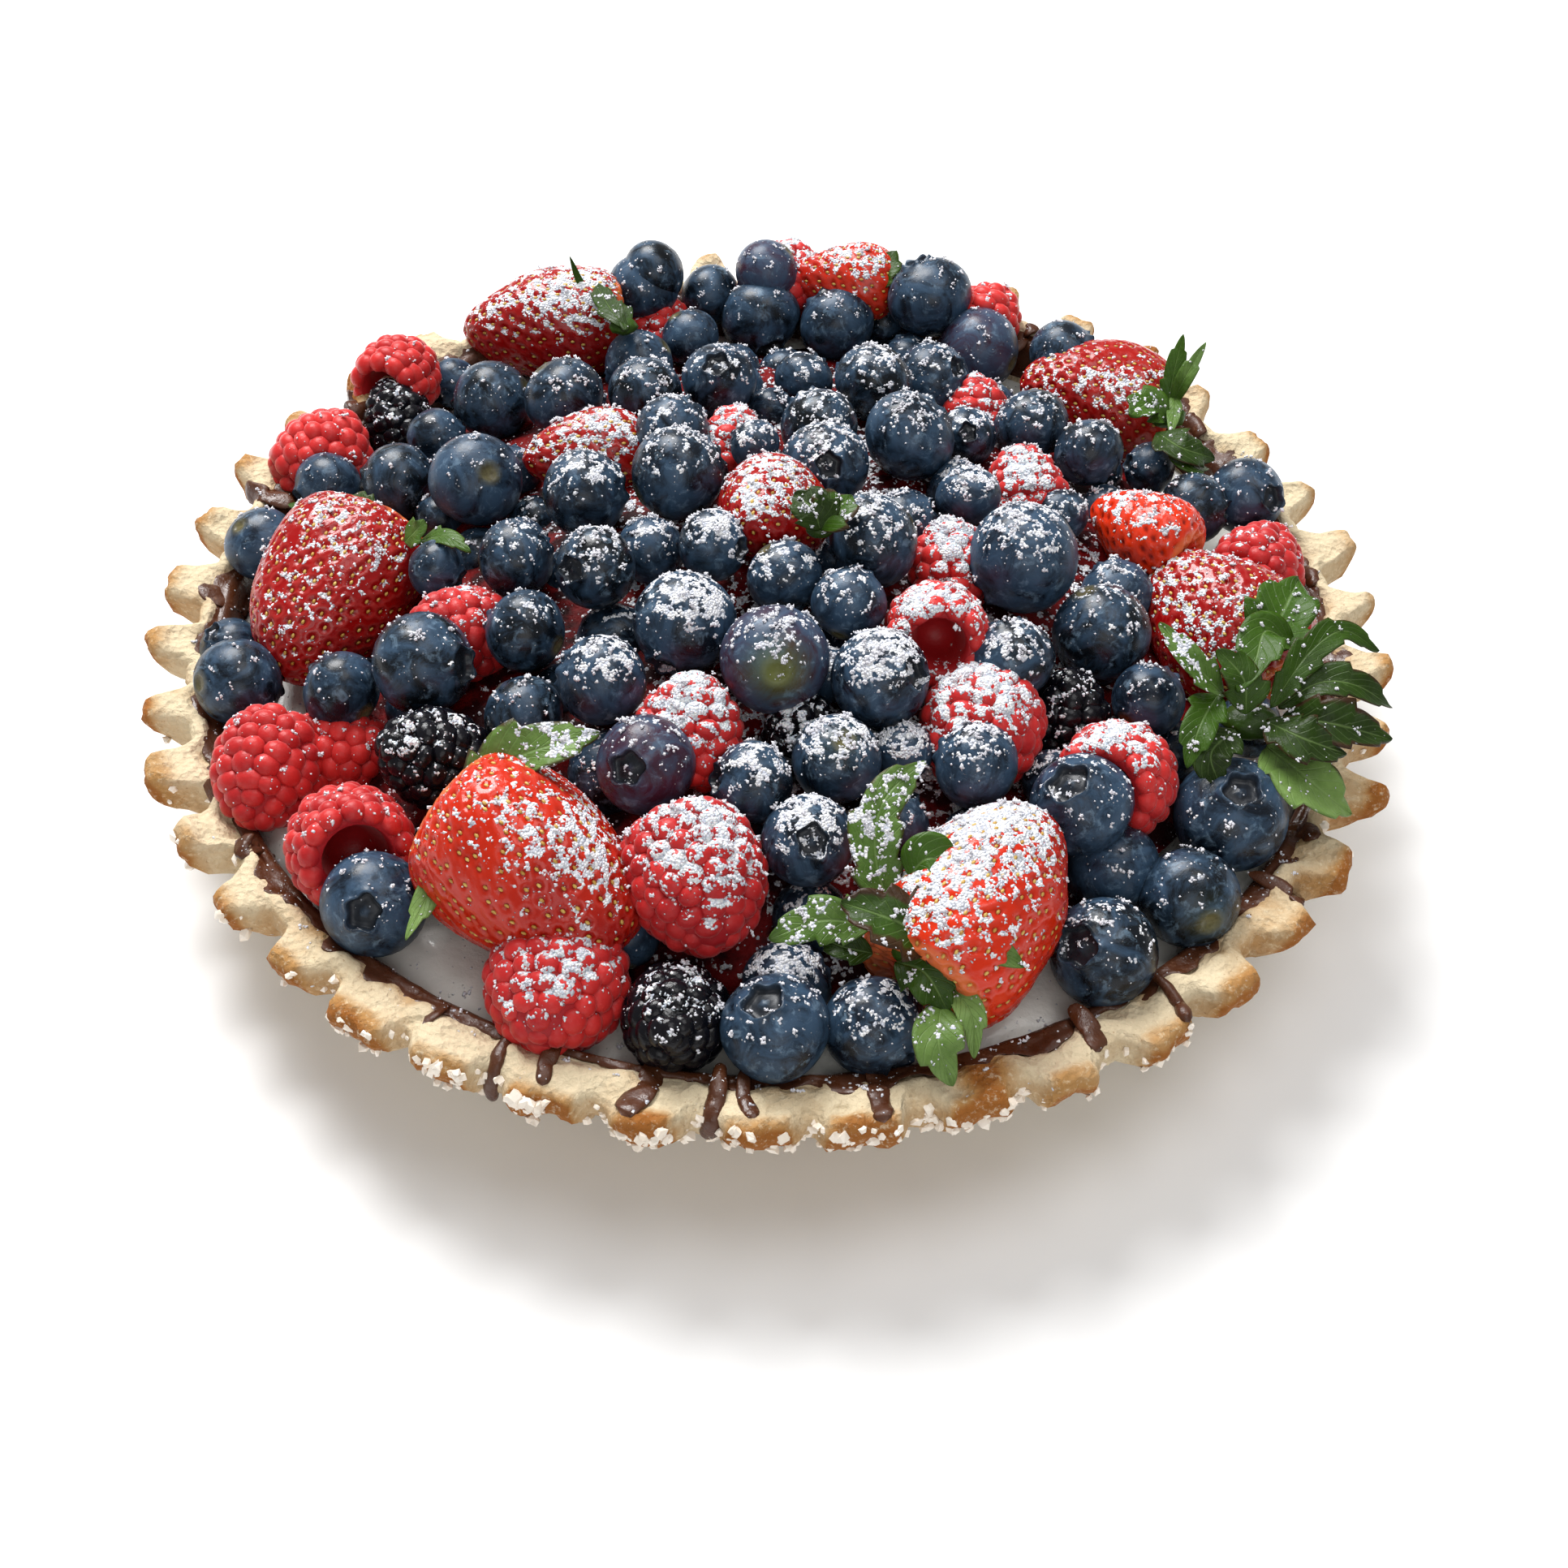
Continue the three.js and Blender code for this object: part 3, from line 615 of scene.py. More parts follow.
class Long:
    """A berry with an axis, from across, down, lift, length, width, bearing and tilt of its tip."""

    def __init__(self, across, down, lift, length, width, bearing, tilt):
        self.at = on_heap(across, down, lift)
        self.length, self.width = length, width
        self.axis = direction(bearing, tilt)

    def moved(self, place):
        self.at = place
        return self

    def balls(self):
        radius = BALL_SHARE * self.width
        spread = self.length / 2 - radius
        for share, size in ((-0.9, radius), (0.6, radius * 0.84)):
            yield loose_ball(size, tuple(self.at + self.axis * share * spread))


STRAWBERRIES = [Long(*row) for row in (
    (415, 738, 0, 36, 27, 222, -14), (668, 400, 3, 34, 26, 190, 0), (946, 632, 0, 24, 20, 250, 30),
    (1035, 347, 7, 24, 18, 175, 5), (1345, 488, 0, 32, 24, 172, 8), (665, 1078, 2, 34, 28, 318, -14),
    (1208, 1112, 2, 33, 27, 55, 12), (1500, 765, 0, 33, 27, 130, 16), (1405, 658, 0, 24, 17, 318, -6),
    (718, 562, -3, 24, 18, 200, 10))]
RASPBERRIES = [Long(*row) for row in (
    (393, 568, -1, 21, 20, 205, 0), (328, 955, 0, 22, 20, 262, -10), (682, 1222, 0, 23, 24, 262, 10),
    (860, 1090, 2, 25, 24, 290, -12), (1205, 905, -2, 22, 22, 250, 10), (1380, 958, -1, 22, 21, 300, 15),
    (1550, 700, 0, 20, 19, 60, 20), (812, 408, -1, 18, 17, 90, 40), (970, 340, 5, 18, 17, 80, 30),
    (1215, 392, 3, 17, 16, 60, 30), (560, 782, -3, 19, 18, 200, 20), (850, 897, -1, 20, 19, 80, 50),
    (905, 548, -5, 16, 15, 90, 40), (1172, 692, -4, 17, 16, 90, 40), (1262, 604, -4, 18, 17, 100, 40),
    (425, 925, -6, 18, 17, 0, 20))]
HOLLOW_RASPBERRIES = [Long(*row) for row in (
    (495, 462, 1, 19, 18, 40, -10), (428, 1040, 1, 23, 22, 120, 5), (1153, 778, -1, 20, 19, 90, 0))]
BRAMBLES = [Long(*row) for row in (
    (490, 513, -1, 16, 15, 120, 40), (528, 932, 0, 20, 18, 200, 40), (832, 1258, 0, 21, 18, 270, 40),
    (1318, 880, -5, 17, 15, 90, 60))]
LOW_RASPBERRIES = [Long(1200, 510, -5, 17, 16, 90, 40)]
LOW_BRAMBLES = [Long(988, 903, -6, 16, 14, 90, 60)]
RIM_BLUEBERRIES = [
    (793, 354, 1, 15.5), (806, 335, -2, 14), (945, 335, -2, 14.5), (1145, 366, 1, 18.5),
    (1310, 438, 0, 15.5), (1535, 612, 0, 15.5), (322, 670, 0, 14.5), (267, 800, -2, 12),
    (275, 844, 1, 16.5), (457, 1116, 0, 18), (955, 1301, 1, 18), (1076, 1264, 0, 17),
    (1516, 1004, 1, 20.5), (1487, 1121, 0, 17.5), (1367, 1181, 1, 18.5)]
HEAP_BLUEBERRIES = [
    (875, 364, 0, 13.5), (850, 415, 0, 12.5), (937, 390, 1, 17.5), (993, 352, 0, 11),
    (1032, 399, 1, 17), (1206, 431, 1, 18), (886, 468, 1, 15), (1077, 470, 0, 16), (1150, 468, 0, 16),
    (795, 484, 1, 15), (607, 493, 1, 16.5), (695, 489, 1, 16.5), (560, 472, -2, 11),
    (538, 541, -2, 12.5), (829, 533, -1, 15), (835, 583, 2, 17.5), (930, 548, 0, 10),
    (1010, 525, -1, 15.5), (1016, 574, 2, 17), (1120, 537, 1, 18), (1270, 524, 1, 15.5),
    (1342, 557, 1, 14), (1417, 577, -1, 11), (1470, 627, 1, 14.5), (405, 600, 0, 14.5),
    (492, 594, 0, 15.5), (586, 591, 2, 18), (720, 608, 1, 17), (537, 700, 1, 11), (635, 689, 0, 15),
    (733, 700, 1, 15), (801, 678, -2, 13), (879, 672, 0, 13.5), (1193, 612, 0, 12.5),
    (1076, 665, 2, 17.5), (966, 710, -1, 14), (1046, 744, 0, 13.5), (1261, 688, 2, 20.5),
    (421, 851, 1, 14.5), (521, 818, 2, 18.5), (648, 779, 0, 15), (742, 838, 0, 16),
    (844, 768, 1, 18.5), (955, 812, 2, 19), (1085, 836, 1, 17.5), (1246, 814, 1, 15.5),
    (1357, 780, 1, 18), (1415, 862, 0, 13.5), (644, 881, -1, 14.5), (795, 942, 2, 17),
    (927, 965, 0, 14.5), (1031, 935, 0, 15.5), (995, 1036, 1, 15.5), (1203, 942, 0, 15.5),
    (1333, 991, 2, 18), (1370, 1070, -3, 16.5), (970, 1215, -2, 15.5)]
LOW_BLUEBERRIES = [
    (1090, 400, -3, 12.5), (908, 482, -4, 12.5), (990, 468, -3, 12.5), (788, 450, -3, 15),
    (858, 588, -4, 12.5), (1190, 538, -3, 12), (632, 582, -4, 11), (1115, 648, -4, 14.5),
    (1306, 635, -4, 11), (1297, 962, -3, 11), (1112, 925, -3, 11)]
# Berry across and down, then where the middle of its crown shows.
CROWNS = {
    (793, 354): (797, 326), (1145, 366): (1125, 318), (886, 468): (884, 456), (1150, 468): (1180, 458),
    (1016, 574): (1021, 581), (1190, 538): (1190, 538), (1535, 612): (1562, 619), (733, 700): (703, 706),
    (879, 672): (917, 680), (267, 800): (249, 780), (1085, 836): (1129, 831),
    (795, 942): (774, 948), (995, 1036): (1001, 1035), (1297, 962): (1297, 951), (1333, 991): (1307, 961),
    (1516, 1004): (1520, 969), (1367, 1181): (1325, 1170), (457, 1116): (456, 1124),
    (955, 1301): (938, 1259)}
# The same for the scar that a stalk left.
SCARS = {
    (586, 591): (611, 589), (322, 670): (300, 650), (275, 844): (235, 846), (1031, 935): (1040, 912),
    (1487, 1121): (1505, 1150), (695, 489): (661, 448), (955, 812): (958, 833)}
# How green the skin stays round these scars.
GREEN = {(955, 812): 0.62, (1031, 935): 0.10, (1487, 1121): 0.12}
PURPLE = [(945, 335), (1206, 431), (955, 812), (795, 942)]
# How thick the sugar lies on some of them; the others take chance amounts.
BLUEBERRY_SWEET = {
    (955, 812): 0.7, (844, 768): 1.4, (1367, 1181): 2.0, (1076, 1264): 1.8, (970, 1215): 1.8,
    (955, 1301): 0.7, (457, 1116): 1.6, (275, 844): 0.3, (322, 670): 0.3, (1516, 1004): 0.8,
    (1487, 1121): 0.9, (586, 591): 0.7, (1535, 612): 0.5, (1120, 537): 0.7, (742, 838): 1.6,
    (995, 1036): 1.6, (1333, 991): 1.2, (1206, 431): 0.6}

axis_berries = STRAWBERRIES + RASPBERRIES + HOLLOW_RASPBERRIES + BRAMBLES
axis_balls = [ball for berry in axis_berries for ball in berry.balls()]
main_balls = [Ball(*row) for row in RIM_BLUEBERRIES + HEAP_BLUEBERRIES]
settle(main_balls, axis_balls)
low_berries = LOW_RASPBERRIES + LOW_BRAMBLES
low_axis_balls = [ball for berry in low_berries for ball in berry.balls()]
low_balls = [Ball(*row) for row in LOW_BLUEBERRIES]
settle(low_balls, axis_balls + main_balls + low_axis_balls)

FILLER_SPACING = 9.5
FILLER_OVERLAP = 0.9
FILLER_DROPS = 12             # steps of a millimetre
DEEP_SPACING = 6.0
DEEP_OVERLAP = 1.5
JITTER = 2.5
COVER = 0.86                  # of the two radii: a ball seen nearer than this to another covers it


def loose_grid(reach, spacing, order, random):
    """Places a little off a square grid, column by column; order 1 goes from front to back."""
    row = np.arange(-reach, reach + 1, spacing)
    for x in row:
        for y in row[::order]:
            yield np.array([x, y]) + random.uniform(-JITTER, JITTER, 2)


def fits(ball, others, most):
    return all(overlap(ball, other) < most for other in others)


def hides(ball, marks):
    """Whether a ball would stand before one of the marks: across, down, how far and radius."""
    across, down, depth = seen_at(ball.at)
    return any(depth < far and math.hypot(across - u, down - v) < COVER * (ball.radius + r) * REACH / depth
               for u, v, far, r in marks)


def fillers(placed):
    """Berries of a lower layer, in whatever room the placed ones leave."""
    random = np.random.default_rng(21)
    marks = [(*seen_at(ball.at), ball.radius) for ball in placed]
    found = []
    for spot in loose_grid(HEAP_RADIUS, FILLER_SPACING, -1, random):
        radius = random.uniform(5.6, 8.2)
        for drop in range(FILLER_DROPS):
            if np.hypot(*spot) > REST_ON_WALL - radius - 1:
                break
            ball = loose_ball(radius, (*spot, max(heap_height(*spot) - drop, CREAM_TOP + radius)))
            if fits(ball, placed + found, FILLER_OVERLAP) and not hides(ball, marks):
                found.append(ball)
                break
    return found


filler_balls = fillers(axis_balls + main_balls + low_axis_balls + low_balls)


def deep_berries(placed):
    """Small berries half sunk in the heap's inside, wherever the others leave it bare."""
    random = np.random.default_rng(37)
    found = []
    for spot in loose_grid(CORE_RADIUS, DEEP_SPACING, 1, random):
        radius = random.uniform(4.8, 6.6)
        height = max(heap_height(*spot) - CORE_DEPTH + 0.35 * radius, CREAM_TOP + radius)
        ball = loose_ball(radius, (*spot, height))
        if np.hypot(*spot) < CORE_RADIUS and fits(ball, placed + found, DEEP_OVERLAP):
            found.append(ball)
    return found


deep_balls = deep_berries(axis_balls + main_balls + low_axis_balls + low_balls + filler_balls)


# ---- Crust
INNER_EDGE = 106.2            # where the rim's upper face starts
GROOVE_RADIUS = 110.2         # outside, between two flutes
FRONT_FILL = 4.2              # the grooves are this much shallower at the front
CRUST_COLUMNS = FLUTES * 22
SCORCHED = [(1214, 1324, 4.5), (430, 480, 6)]     # across, down and reach


def seeded(seed):
    """The same simple generator as the solids use."""
    while True:
        seed = (seed * 1664525 + 1013904223) % 4294967296
        yield seed / 4294967296


draws = seeded(7)
PRESSED = np.array([[next(draws) - 0.5, next(draws) - 0.5] for _ in range(FLUTES)])


def flute_at(angle):
    return (angle % TURN * FLUTES / TURN).astype(int) % FLUTES


def rim_height(angle):
    return RIM_HEIGHT + BACK_RISE * np.maximum(0, np.sin(angle)) ** 1.5


UNEVEN = np.random.default_rng(31).uniform(-1, 1, (FLUTES, 3))


def tooth(angle):
    """1 on the blunt tip of a flute and 0 in the groove beside it; the flutes are broad at the front."""
    phase = angle * FLUTES / TURN % 1
    shift, widen, _ = UNEVEN[flute_at(angle)].T
    front = smooth(0.45, 0.9, -np.sin(angle))
    shift, widen = 0.04 * shift, 0.035 * widen + 0.065 * front
    near = smooth(0.14 + shift - widen, 0.40 + shift - 1.8 * widen, phase)
    return near * (1 - smooth(0.60 + shift + 1.8 * widen, 0.86 + shift + widen, phase))


def rim_outer(angle):
    reach = PRESSED[flute_at(angle), 0]
    groove = GROOVE_RADIUS + FRONT_FILL * smooth(0.5, 0.95, -np.sin(angle))
    chipped = 0.9 * rough(around(TIP_RADIUS, angle), 3.6, 2, 6)
    return groove + (TIP_RADIUS + 0.2 - groove + 2.0 * reach + chipped) * tooth(angle)


def rim_top(angle, radius):
    """Height of the rim's upper face."""
    rise = PRESSED[flute_at(angle), 1]
    share = np.clip((radius - INNER_EDGE) / (rim_outer(angle) - INNER_EDGE), 0, 1.1)
    height = rim_height(angle) - 2.7 + 2.2 * smooth(0, 0.45, share)
    height += 0.55 * rough(around(radius, angle), 6, 3, 5)
    nub = (1.2 + 2.2 * rise) * tooth(angle) ** 3 * smooth(0.55, 0.9, share)
    return height + nub - 0.8 * (1 - tooth(angle)) * smooth(0.3, 1, share)


LIP = [(1.5, 6.3), (0.7, 4.9), (0.2, 3.4), (0.1, 2.3), (0.45, 1.1), (1.2, 0.3), (2.2, 0.0)]    # inward, down


def crust_rows(angle):
    """Radius and height of each ring: up the outside, over the rim and down the inside."""
    outer, hollow = rim_outer(angle), 2.6 * (1 - tooth(angle))
    edge = rim_top(angle, outer - LIP[-1][0])
    foot = BASE_RADIUS + 1.2
    yield BASE_RADIUS, 0
    yield foot, 0.5
    for share in np.linspace(0.12, 0.96, 11):
        reach = (outer - 3.2 - BASE_RADIUS) * share**0.92
        yield foot + reach - hollow * math.sin(math.pi * share), 0.5 + (edge - 7.0) * share
    for inward, down in LIP:
        yield outer - inward, edge - down
    for share in np.linspace(0.88, 0, 14):
        radius = INNER_EDGE + (outer - LIP[-1][0] - INNER_EDGE) * share
        yield radius, rim_top(angle, radius)
    yield INNER_EDGE - 0.2, rim_height(angle) - 4.2
    yield WALL_RADIUS, WALL_BEND
    yield FLOOR_RADIUS, FLOOR_THICKNESS + 0.6


def crust():
    angle = angles(CRUST_COLUMNS)
    radii, heights = zip(*crust_rows(angle))
    points, faces = spun(radii, heights, CRUST_COLUMNS, 0.0, FLOOR_THICKNESS)
    radius = np.hypot(points[:, 0], points[:, 1])
    shown = smooth(1.0, 6, points[:, 2]) * smooth(INNER_EDGE, INNER_EDGE + 2, radius)
    lip = shown * smooth(0, 3, rim_height(np.arctan2(points[:, 1], points[:, 0])) + 0.5 - points[:, 2])
    creased = 0.8 * (0.5 - np.abs(lumps(points, 5, 25))) + 0.28 * rough(points, 2.4, 3, 9)
    push = creased * shown + 0.6 * rough(points, 4.5, 3, 15) * lip
    points = points + normals_of(points, faces) * push[:, None]
    tips = np.r_[0, np.tile(tooth(angle), len(radii)), 0]
    bake = 0.75 * tips**3 * smooth(113, 117, radius) * shown
    bake = bake + 0.45 * lip + 0.25 * smooth(24, 10, points[:, 2])
    for across, down, size in SCORCHED:
        spot = on_level(across, down, RIM_HEIGHT)
        bake += 1.1 * np.exp(-(((points - spot) ** 2).sum(axis=1) / size**2)) * shown
    bake += 0.22 * rough(points, 26, 2, 4)
    return one_form("crust_shell", (points, faces), crust_material(), "crust", "crust", bake=bake, sweet=0.18)


# ---- Chocolate
LINING_COLUMNS = 1000
SPREAD = 107.4                # how far the chocolate runs out over the rim
EDGE_NOISE_RADIUS = 110
DRIP_ROWS, DRIP_COLUMNS, DRIP_SIGHTS = 26, 14, 10
# Where it ran further, as seen: across and down of its start and end, its width and its thickness.
DRIPS = [
    (614, 1300, 600, 1358, 3.0, 1.2), (672, 1312, 668, 1338, 3.2, 0.7), (800, 1336, 765, 1374, 6.0, 0.7),
    (884, 1345, 873, 1402, 4.0, 1.5), (915, 1352, 930, 1378, 3.2, 0.6), (1080, 1335, 1090, 1384, 4.2, 0.7),
    (1344, 1268, 1356, 1296, 4.0, 0.6), (1438, 1216, 1466, 1260, 2.6, 1.4), (290, 745, 244, 722, 6.5, 0.6),
    (300, 990, 250, 968, 5.5, 0.6), (345, 1062, 290, 1036, 6.0, 0.6), (392, 1118, 345, 1104, 5.0, 0.6),
    (1560, 650, 1588, 665, 4.5, 0.8), (1590, 712, 1626, 714, 6.0, 1.0), (1440, 540, 1486, 520, 8.0, 0.8),
    (1262, 415, 1292, 380, 5.0, 1.0), (600, 412, 576, 388, 5.0, 0.8),
    (455, 512, 424, 488, 5.5, 0.8), (1575, 1092, 1600, 1112, 4.0, 0.7), (1598, 1025, 1628, 1028, 4.5, 0.9),
    (550, 1238, 520, 1262, 4.0, 0.6), (330, 612, 305, 606, 5.0, 0.8)]


def ragged_edge(angle):
    places = around(EDGE_NOISE_RADIUS, angle)
    spread = SPREAD + 3.4 * tooth(angle) * (0.5 + rough(places, 30, 2, 8)) + 1.3 * rough(places, 6, 4, 12)
    return np.clip(spread, INNER_EDGE + 0.4, rim_outer(angle) - 3)


def chocolate(shell):
    angle = angles(LINING_COLUMNS)
    rim, edge = rim_height(angle), ragged_edge(angle)
    wall = WALL_RADIUS - LINING_CLEARANCE
    foot = FLOOR_THICKNESS + LINING_CLEARANCE
    rows = [(FLOOR_RADIUS - 0.5, foot + 0.6), (wall, WALL_BEND), (wall + 0.4, rim - 5),
            (edge - 0.6, rim_top(angle, edge) - 0.7), (edge, rim_top(angle, edge) + 0.1)]
    for share in (0.95, 0.85, 0.68, 0.48, 0.28, 0.1):
        radius = wall - 0.4 + (edge - wall + 0.4) * share
        rows.append((radius, rim_top(angle, radius) + 0.62 * (1 - share**8)))
    rows += [(wall - LINING * 0.7, rim - 2.9), (wall - LINING, rim - 4.4), (wall - LINING, WALL_BEND - 0.6),
             (FLOOR_RADIUS - 1 - LINING, foot + LINING + 0.3)]
    points, faces = spun(*zip(*rows), LINING_COLUMNS, foot, foot + LINING)
    shown = smooth(WALL_BEND, WALL_BEND + 3, points[:, 2])
    points[:, 2] += 0.22 * rough(points, 3.5, 3, 8) * shown
    shape = Shape()
    shape.add(points, faces, sweet=0.9)
    tree = surface_of([shell])
    for row in DRIPS:
        shape.add(*drip(tree, *row), sweet=0.9)
    return make_piece("chocolate_lining", shape, chocolate_material(), "chocolate", "chocolate")


def drip(tree, across, down, end_across, end_down, width, thickness):
    """A tongue of chocolate lying on the shell, with a fat end that may hang over its edge."""
    knots, ups = [], []
    for share in np.linspace(0, 1, DRIP_SIGHTS):
        sight = sight_line(across + (end_across - across) * share, down + (end_down - down) * share)
        hit, normal, _, _ = tree.ray_cast(Vector(EYE), Vector(unit(sight)))
        if hit is None:
            hit, normal = knots[-1] + np.array([0, 0, -1.2]), ups[-1]
        knots.append(np.array(hit))
        ups.append(np.array(normal))
    outward = unit(knots[0] * [1, 1, 0])
    knots = [knots[0] - outward * 6 - [0, 0, 0.6], knots[0] - outward * 3, *knots]
    ups = [ups[0], ups[0], *ups]
    track = through(knots, DRIP_ROWS)
    along = np.linspace(0, 1, DRIP_ROWS)
    knots_along, ups = np.linspace(0, 1, len(ups)), np.array(ups)
    normal = np.column_stack([np.interp(along, knots_along, ups[:, k]) for k in range(3)])
    tangent = unit(np.gradient(track, axis=0))
    side = unit(np.cross(tangent, normal))
    above = np.cross(side, tangent)
    round_off = np.sqrt(np.clip(1 - np.abs(2 * along - 1) ** 5, 0, 1))
    half = width / 2 * round_off * (0.72 + 0.34 * along**2 + 0.20 * lumps(track, 2.6, 7))
    thick = thickness * round_off * (0.7 + 0.5 * along**3)
    turn = angles(DRIP_COLUMNS)
    rings = (track[:, None] + side[:, None] * (half[:, None] * np.cos(turn))[..., None]
             + above[:, None] * (thick[:, None] * np.sin(turn))[..., None])
    points = np.vstack([rings[:1].mean(axis=1), rings.reshape(-1, 3), rings[-1:].mean(axis=1)])
    return points, spun_faces(DRIP_ROWS, DRIP_COLUMNS)[:, ::-1]


# ---- Cream and the heap's inside
CREAM_COLUMNS = 320
CORE_COLUMNS, CORE_RINGS = 180, 30


def cream():
    angle = angles(CREAM_COLUMNS)
    dip = 0.5 + 0.5 * np.sin(5 * angle + 2) * np.sin(9 * angle)
    foot = FLOOR_THICKNESS + LINING_CLEARANCE + LINING + CREAM_CLEARANCE
    wall = WALL_RADIUS - LINING_CLEARANCE - LINING - CREAM_CLEARANCE
    rows = [
        (FLOOR_RADIUS - 1 - LINING - CREAM_CLEARANCE, foot + 0.9), (wall, WALL_BEND - 0.6),
        (wall - 0.2, WALL_BEND), (wall - 1.1, CREAM_TOP - 1.0 - dip * 0.6), (wall - 3, CREAM_TOP - dip * 0.3),
        (wall - 6, CREAM_TOP + 0.5 - dip * 0.3), (wall - 10, CREAM_TOP), (80, CREAM_TOP - 0.2),
        (60, CREAM_TOP - 0.2)]
    points, faces = spun(*zip(*rows), CREAM_COLUMNS, foot, CREAM_TOP - 0.2)
    shown = smooth(WALL_BEND, CREAM_TOP, points[:, 2])
    swirl = np.sin(6 * np.arctan2(points[:, 1], points[:, 0]) + 0.16 * np.hypot(points[:, 0], points[:, 1]))
    points[:, 2] += (0.6 * rough(points, 12, 3, 2) + 0.7 * swirl) * shown
    return one_form("cream_filling", (points, faces), cream_material(), "cream", "cream", sweet=0.5)


def heap_inside():
    # A dark dome under the berries; its colour is painted shade for the gaps between them.
    low = CREAM_TOP + GAP
    radii = np.linspace(CORE_RADIUS, 3, CORE_RINGS)
    heights = [heap_height(radius, 0) - CORE_DEPTH for radius in radii]
    top = heap_height(0, 0) - CORE_DEPTH
    points, faces = spun([CORE_RADIUS - 1, *radii], [low, *heights], CORE_COLUMNS, low, top)
    points[:, 2] = np.maximum(points[:, 2] + 1.2 * rough(points, 9, 3, 6), low)
    points[:, 1] += CORE_BACK
    return one_form("heap_inside", (points, faces), core_shade_material(), "blueberry", "blueberry_heap", sweet=1.0)


# ---- Blueberries
CROWN_REACH = np.array([0.16, 0.34, 0.56, 0.76, 0.90, 0.98, 1.05, 1.15, 1.34])
CROWN_LEVEL = np.array([-0.11, -0.15, -0.15, -0.15, -0.10, 0.02, 0.07, 0.035, 0.0])
CROWN_DARK = np.array([0.5, 1, 1, 1, 0.95, 0.6, 0.15, 0.05, 0])
SCAR_ANGLES = np.array([0.34, 0.22, 0.15, 0.08])
SCAR_LEVEL = np.array([0.0, 0.02, -0.03, -0.07])
SCAR_DARK = np.array([0, 0.5, 0.9, 1])
SCAR_GREEN = np.array([0.1, 0.3, 0.6, 0.9, 1, 1])
SHOWN_DETAIL, HIDDEN_DETAIL = (34, 11), (16, 5)       # columns and bands of rings
SEEN_EDGE = 0.95              # of a berry's radius: the farthest out that a crown can show
SIDEWAYS = 0.45               # the other crowns turn at least this far from the viewer


def blueberry(ball, axis, columns, bands, random):
    """A round berry a little flattened along its axis, with a five-lobed crown on top and a scar below."""
    angle = angles(columns)
    lobes = np.cos(5 * angle + random.uniform(0, TURN))
    crown = random.uniform(0.29, 0.38) * (
        1 + 0.10 * lobes + 0.07 * np.cos(2 * angle + random.uniform(0, TURN)))
    flat = random.uniform(0.90, 0.97)
    inner = crown * CROWN_REACH[:, None]
    level = CROWN_LEVEL[:, None] * np.where(CROWN_LEVEL[:, None] > 0, 1 + 0.7 * lobes, 1)
    inner_height = np.sqrt(1 - inner**2) + level
    start = np.arcsin(crown * CROWN_REACH[-1])
    share = np.linspace(0, 1, bands + 2)[1:-1, None]
    side = start + (math.pi - SCAR_ANGLES[0] - start) * share
    polar = np.vstack([side, (math.pi - SCAR_ANGLES)[:, None] + 0 * angle])
    sink = np.r_[np.zeros(bands), SCAR_LEVEL][:, None]
    radii = np.vstack([inner, np.sin(polar)])
    heights = np.vstack([inner_height, np.cos(polar) * (1 + sink)])
    poles = (1 + CROWN_LEVEL[0]) * flat, -(1 + SCAR_LEVEL[-1]) * flat
    points, faces = spun(radii, heights * flat, columns, *poles)
    points *= 1 + 0.035 * lumps(points + random.uniform(0, 50, 3), 0.9)[:, None]
    values = {"crown": np.r_[0.4, np.repeat(np.r_[CROWN_DARK, np.zeros(bands + 4)], columns), 0],
              "scar": np.r_[0, np.repeat(np.r_[np.zeros(bands + 9), SCAR_DARK], columns), 1],
              "green": np.r_[0, np.repeat(np.r_[np.zeros(bands + 7), SCAR_GREEN], columns), 1]}
    points = points * ball.radius @ frame_on(axis, random.uniform(0, TURN)) + ball.at
    return points, faces[:, ::-1], values


def facing(ball, mark, sign):
    """The axis of a berry whose crown (sign 1) or scar (sign -1) shows at the mark."""
    scale = math.dist(ball.at, EYE) / REACH / ball.radius
    right = (mark[0] - ball.mark[0]) * scale
    up = (ball.mark[1] - mark[1]) * scale
    out = math.hypot(right, up)
    if out > SEEN_EDGE:
        right, up = right * SEEN_EDGE / out, up * SEEN_EDGE / out
    near = math.sqrt(1 - min(out, SEEN_EDGE) ** 2)
    return sign * (VIEW_RIGHT * right + VIEW_UP * up - AHEAD * near)


def blueberries():
    random = np.random.default_rng(5)
    shape = Shape()
    toward = unit(EYE)
    for ball in main_balls + low_balls + filler_balls + deep_balls:
        if ball.mark in CROWNS:
            axis = facing(ball, CROWNS[ball.mark], 1)
        elif ball.mark in SCARS:
            axis = facing(ball, SCARS[ball.mark], -1)
        else:
            axis = unit(random.normal(size=3))
            while abs(axis @ toward) > SIDEWAYS:
                axis = unit(random.normal(size=3))
        detail = SHOWN_DETAIL if ball.mark else HIDDEN_DETAIL
        points, faces, values = blueberry(ball, axis, *detail, random)
        values["green"] *= GREEN.get(ball.mark, 0)
        ripe = 1.0 if ball.mark in PURPLE else random.uniform(0, 0.5)
        tint = random.uniform()
        sweet = BLUEBERRY_SWEET.get(ball.mark, random.uniform(0.75, 1.3))
        shape.add(points, faces, tint=tint, ripe=ripe, sweet=sweet, **values)
    names = numbered("blueberry", RIM_BLUEBERRIES)
    return make_piece("blueberries", shape, blueberry_material(), "blueberry", "blueberry_heap", *names)


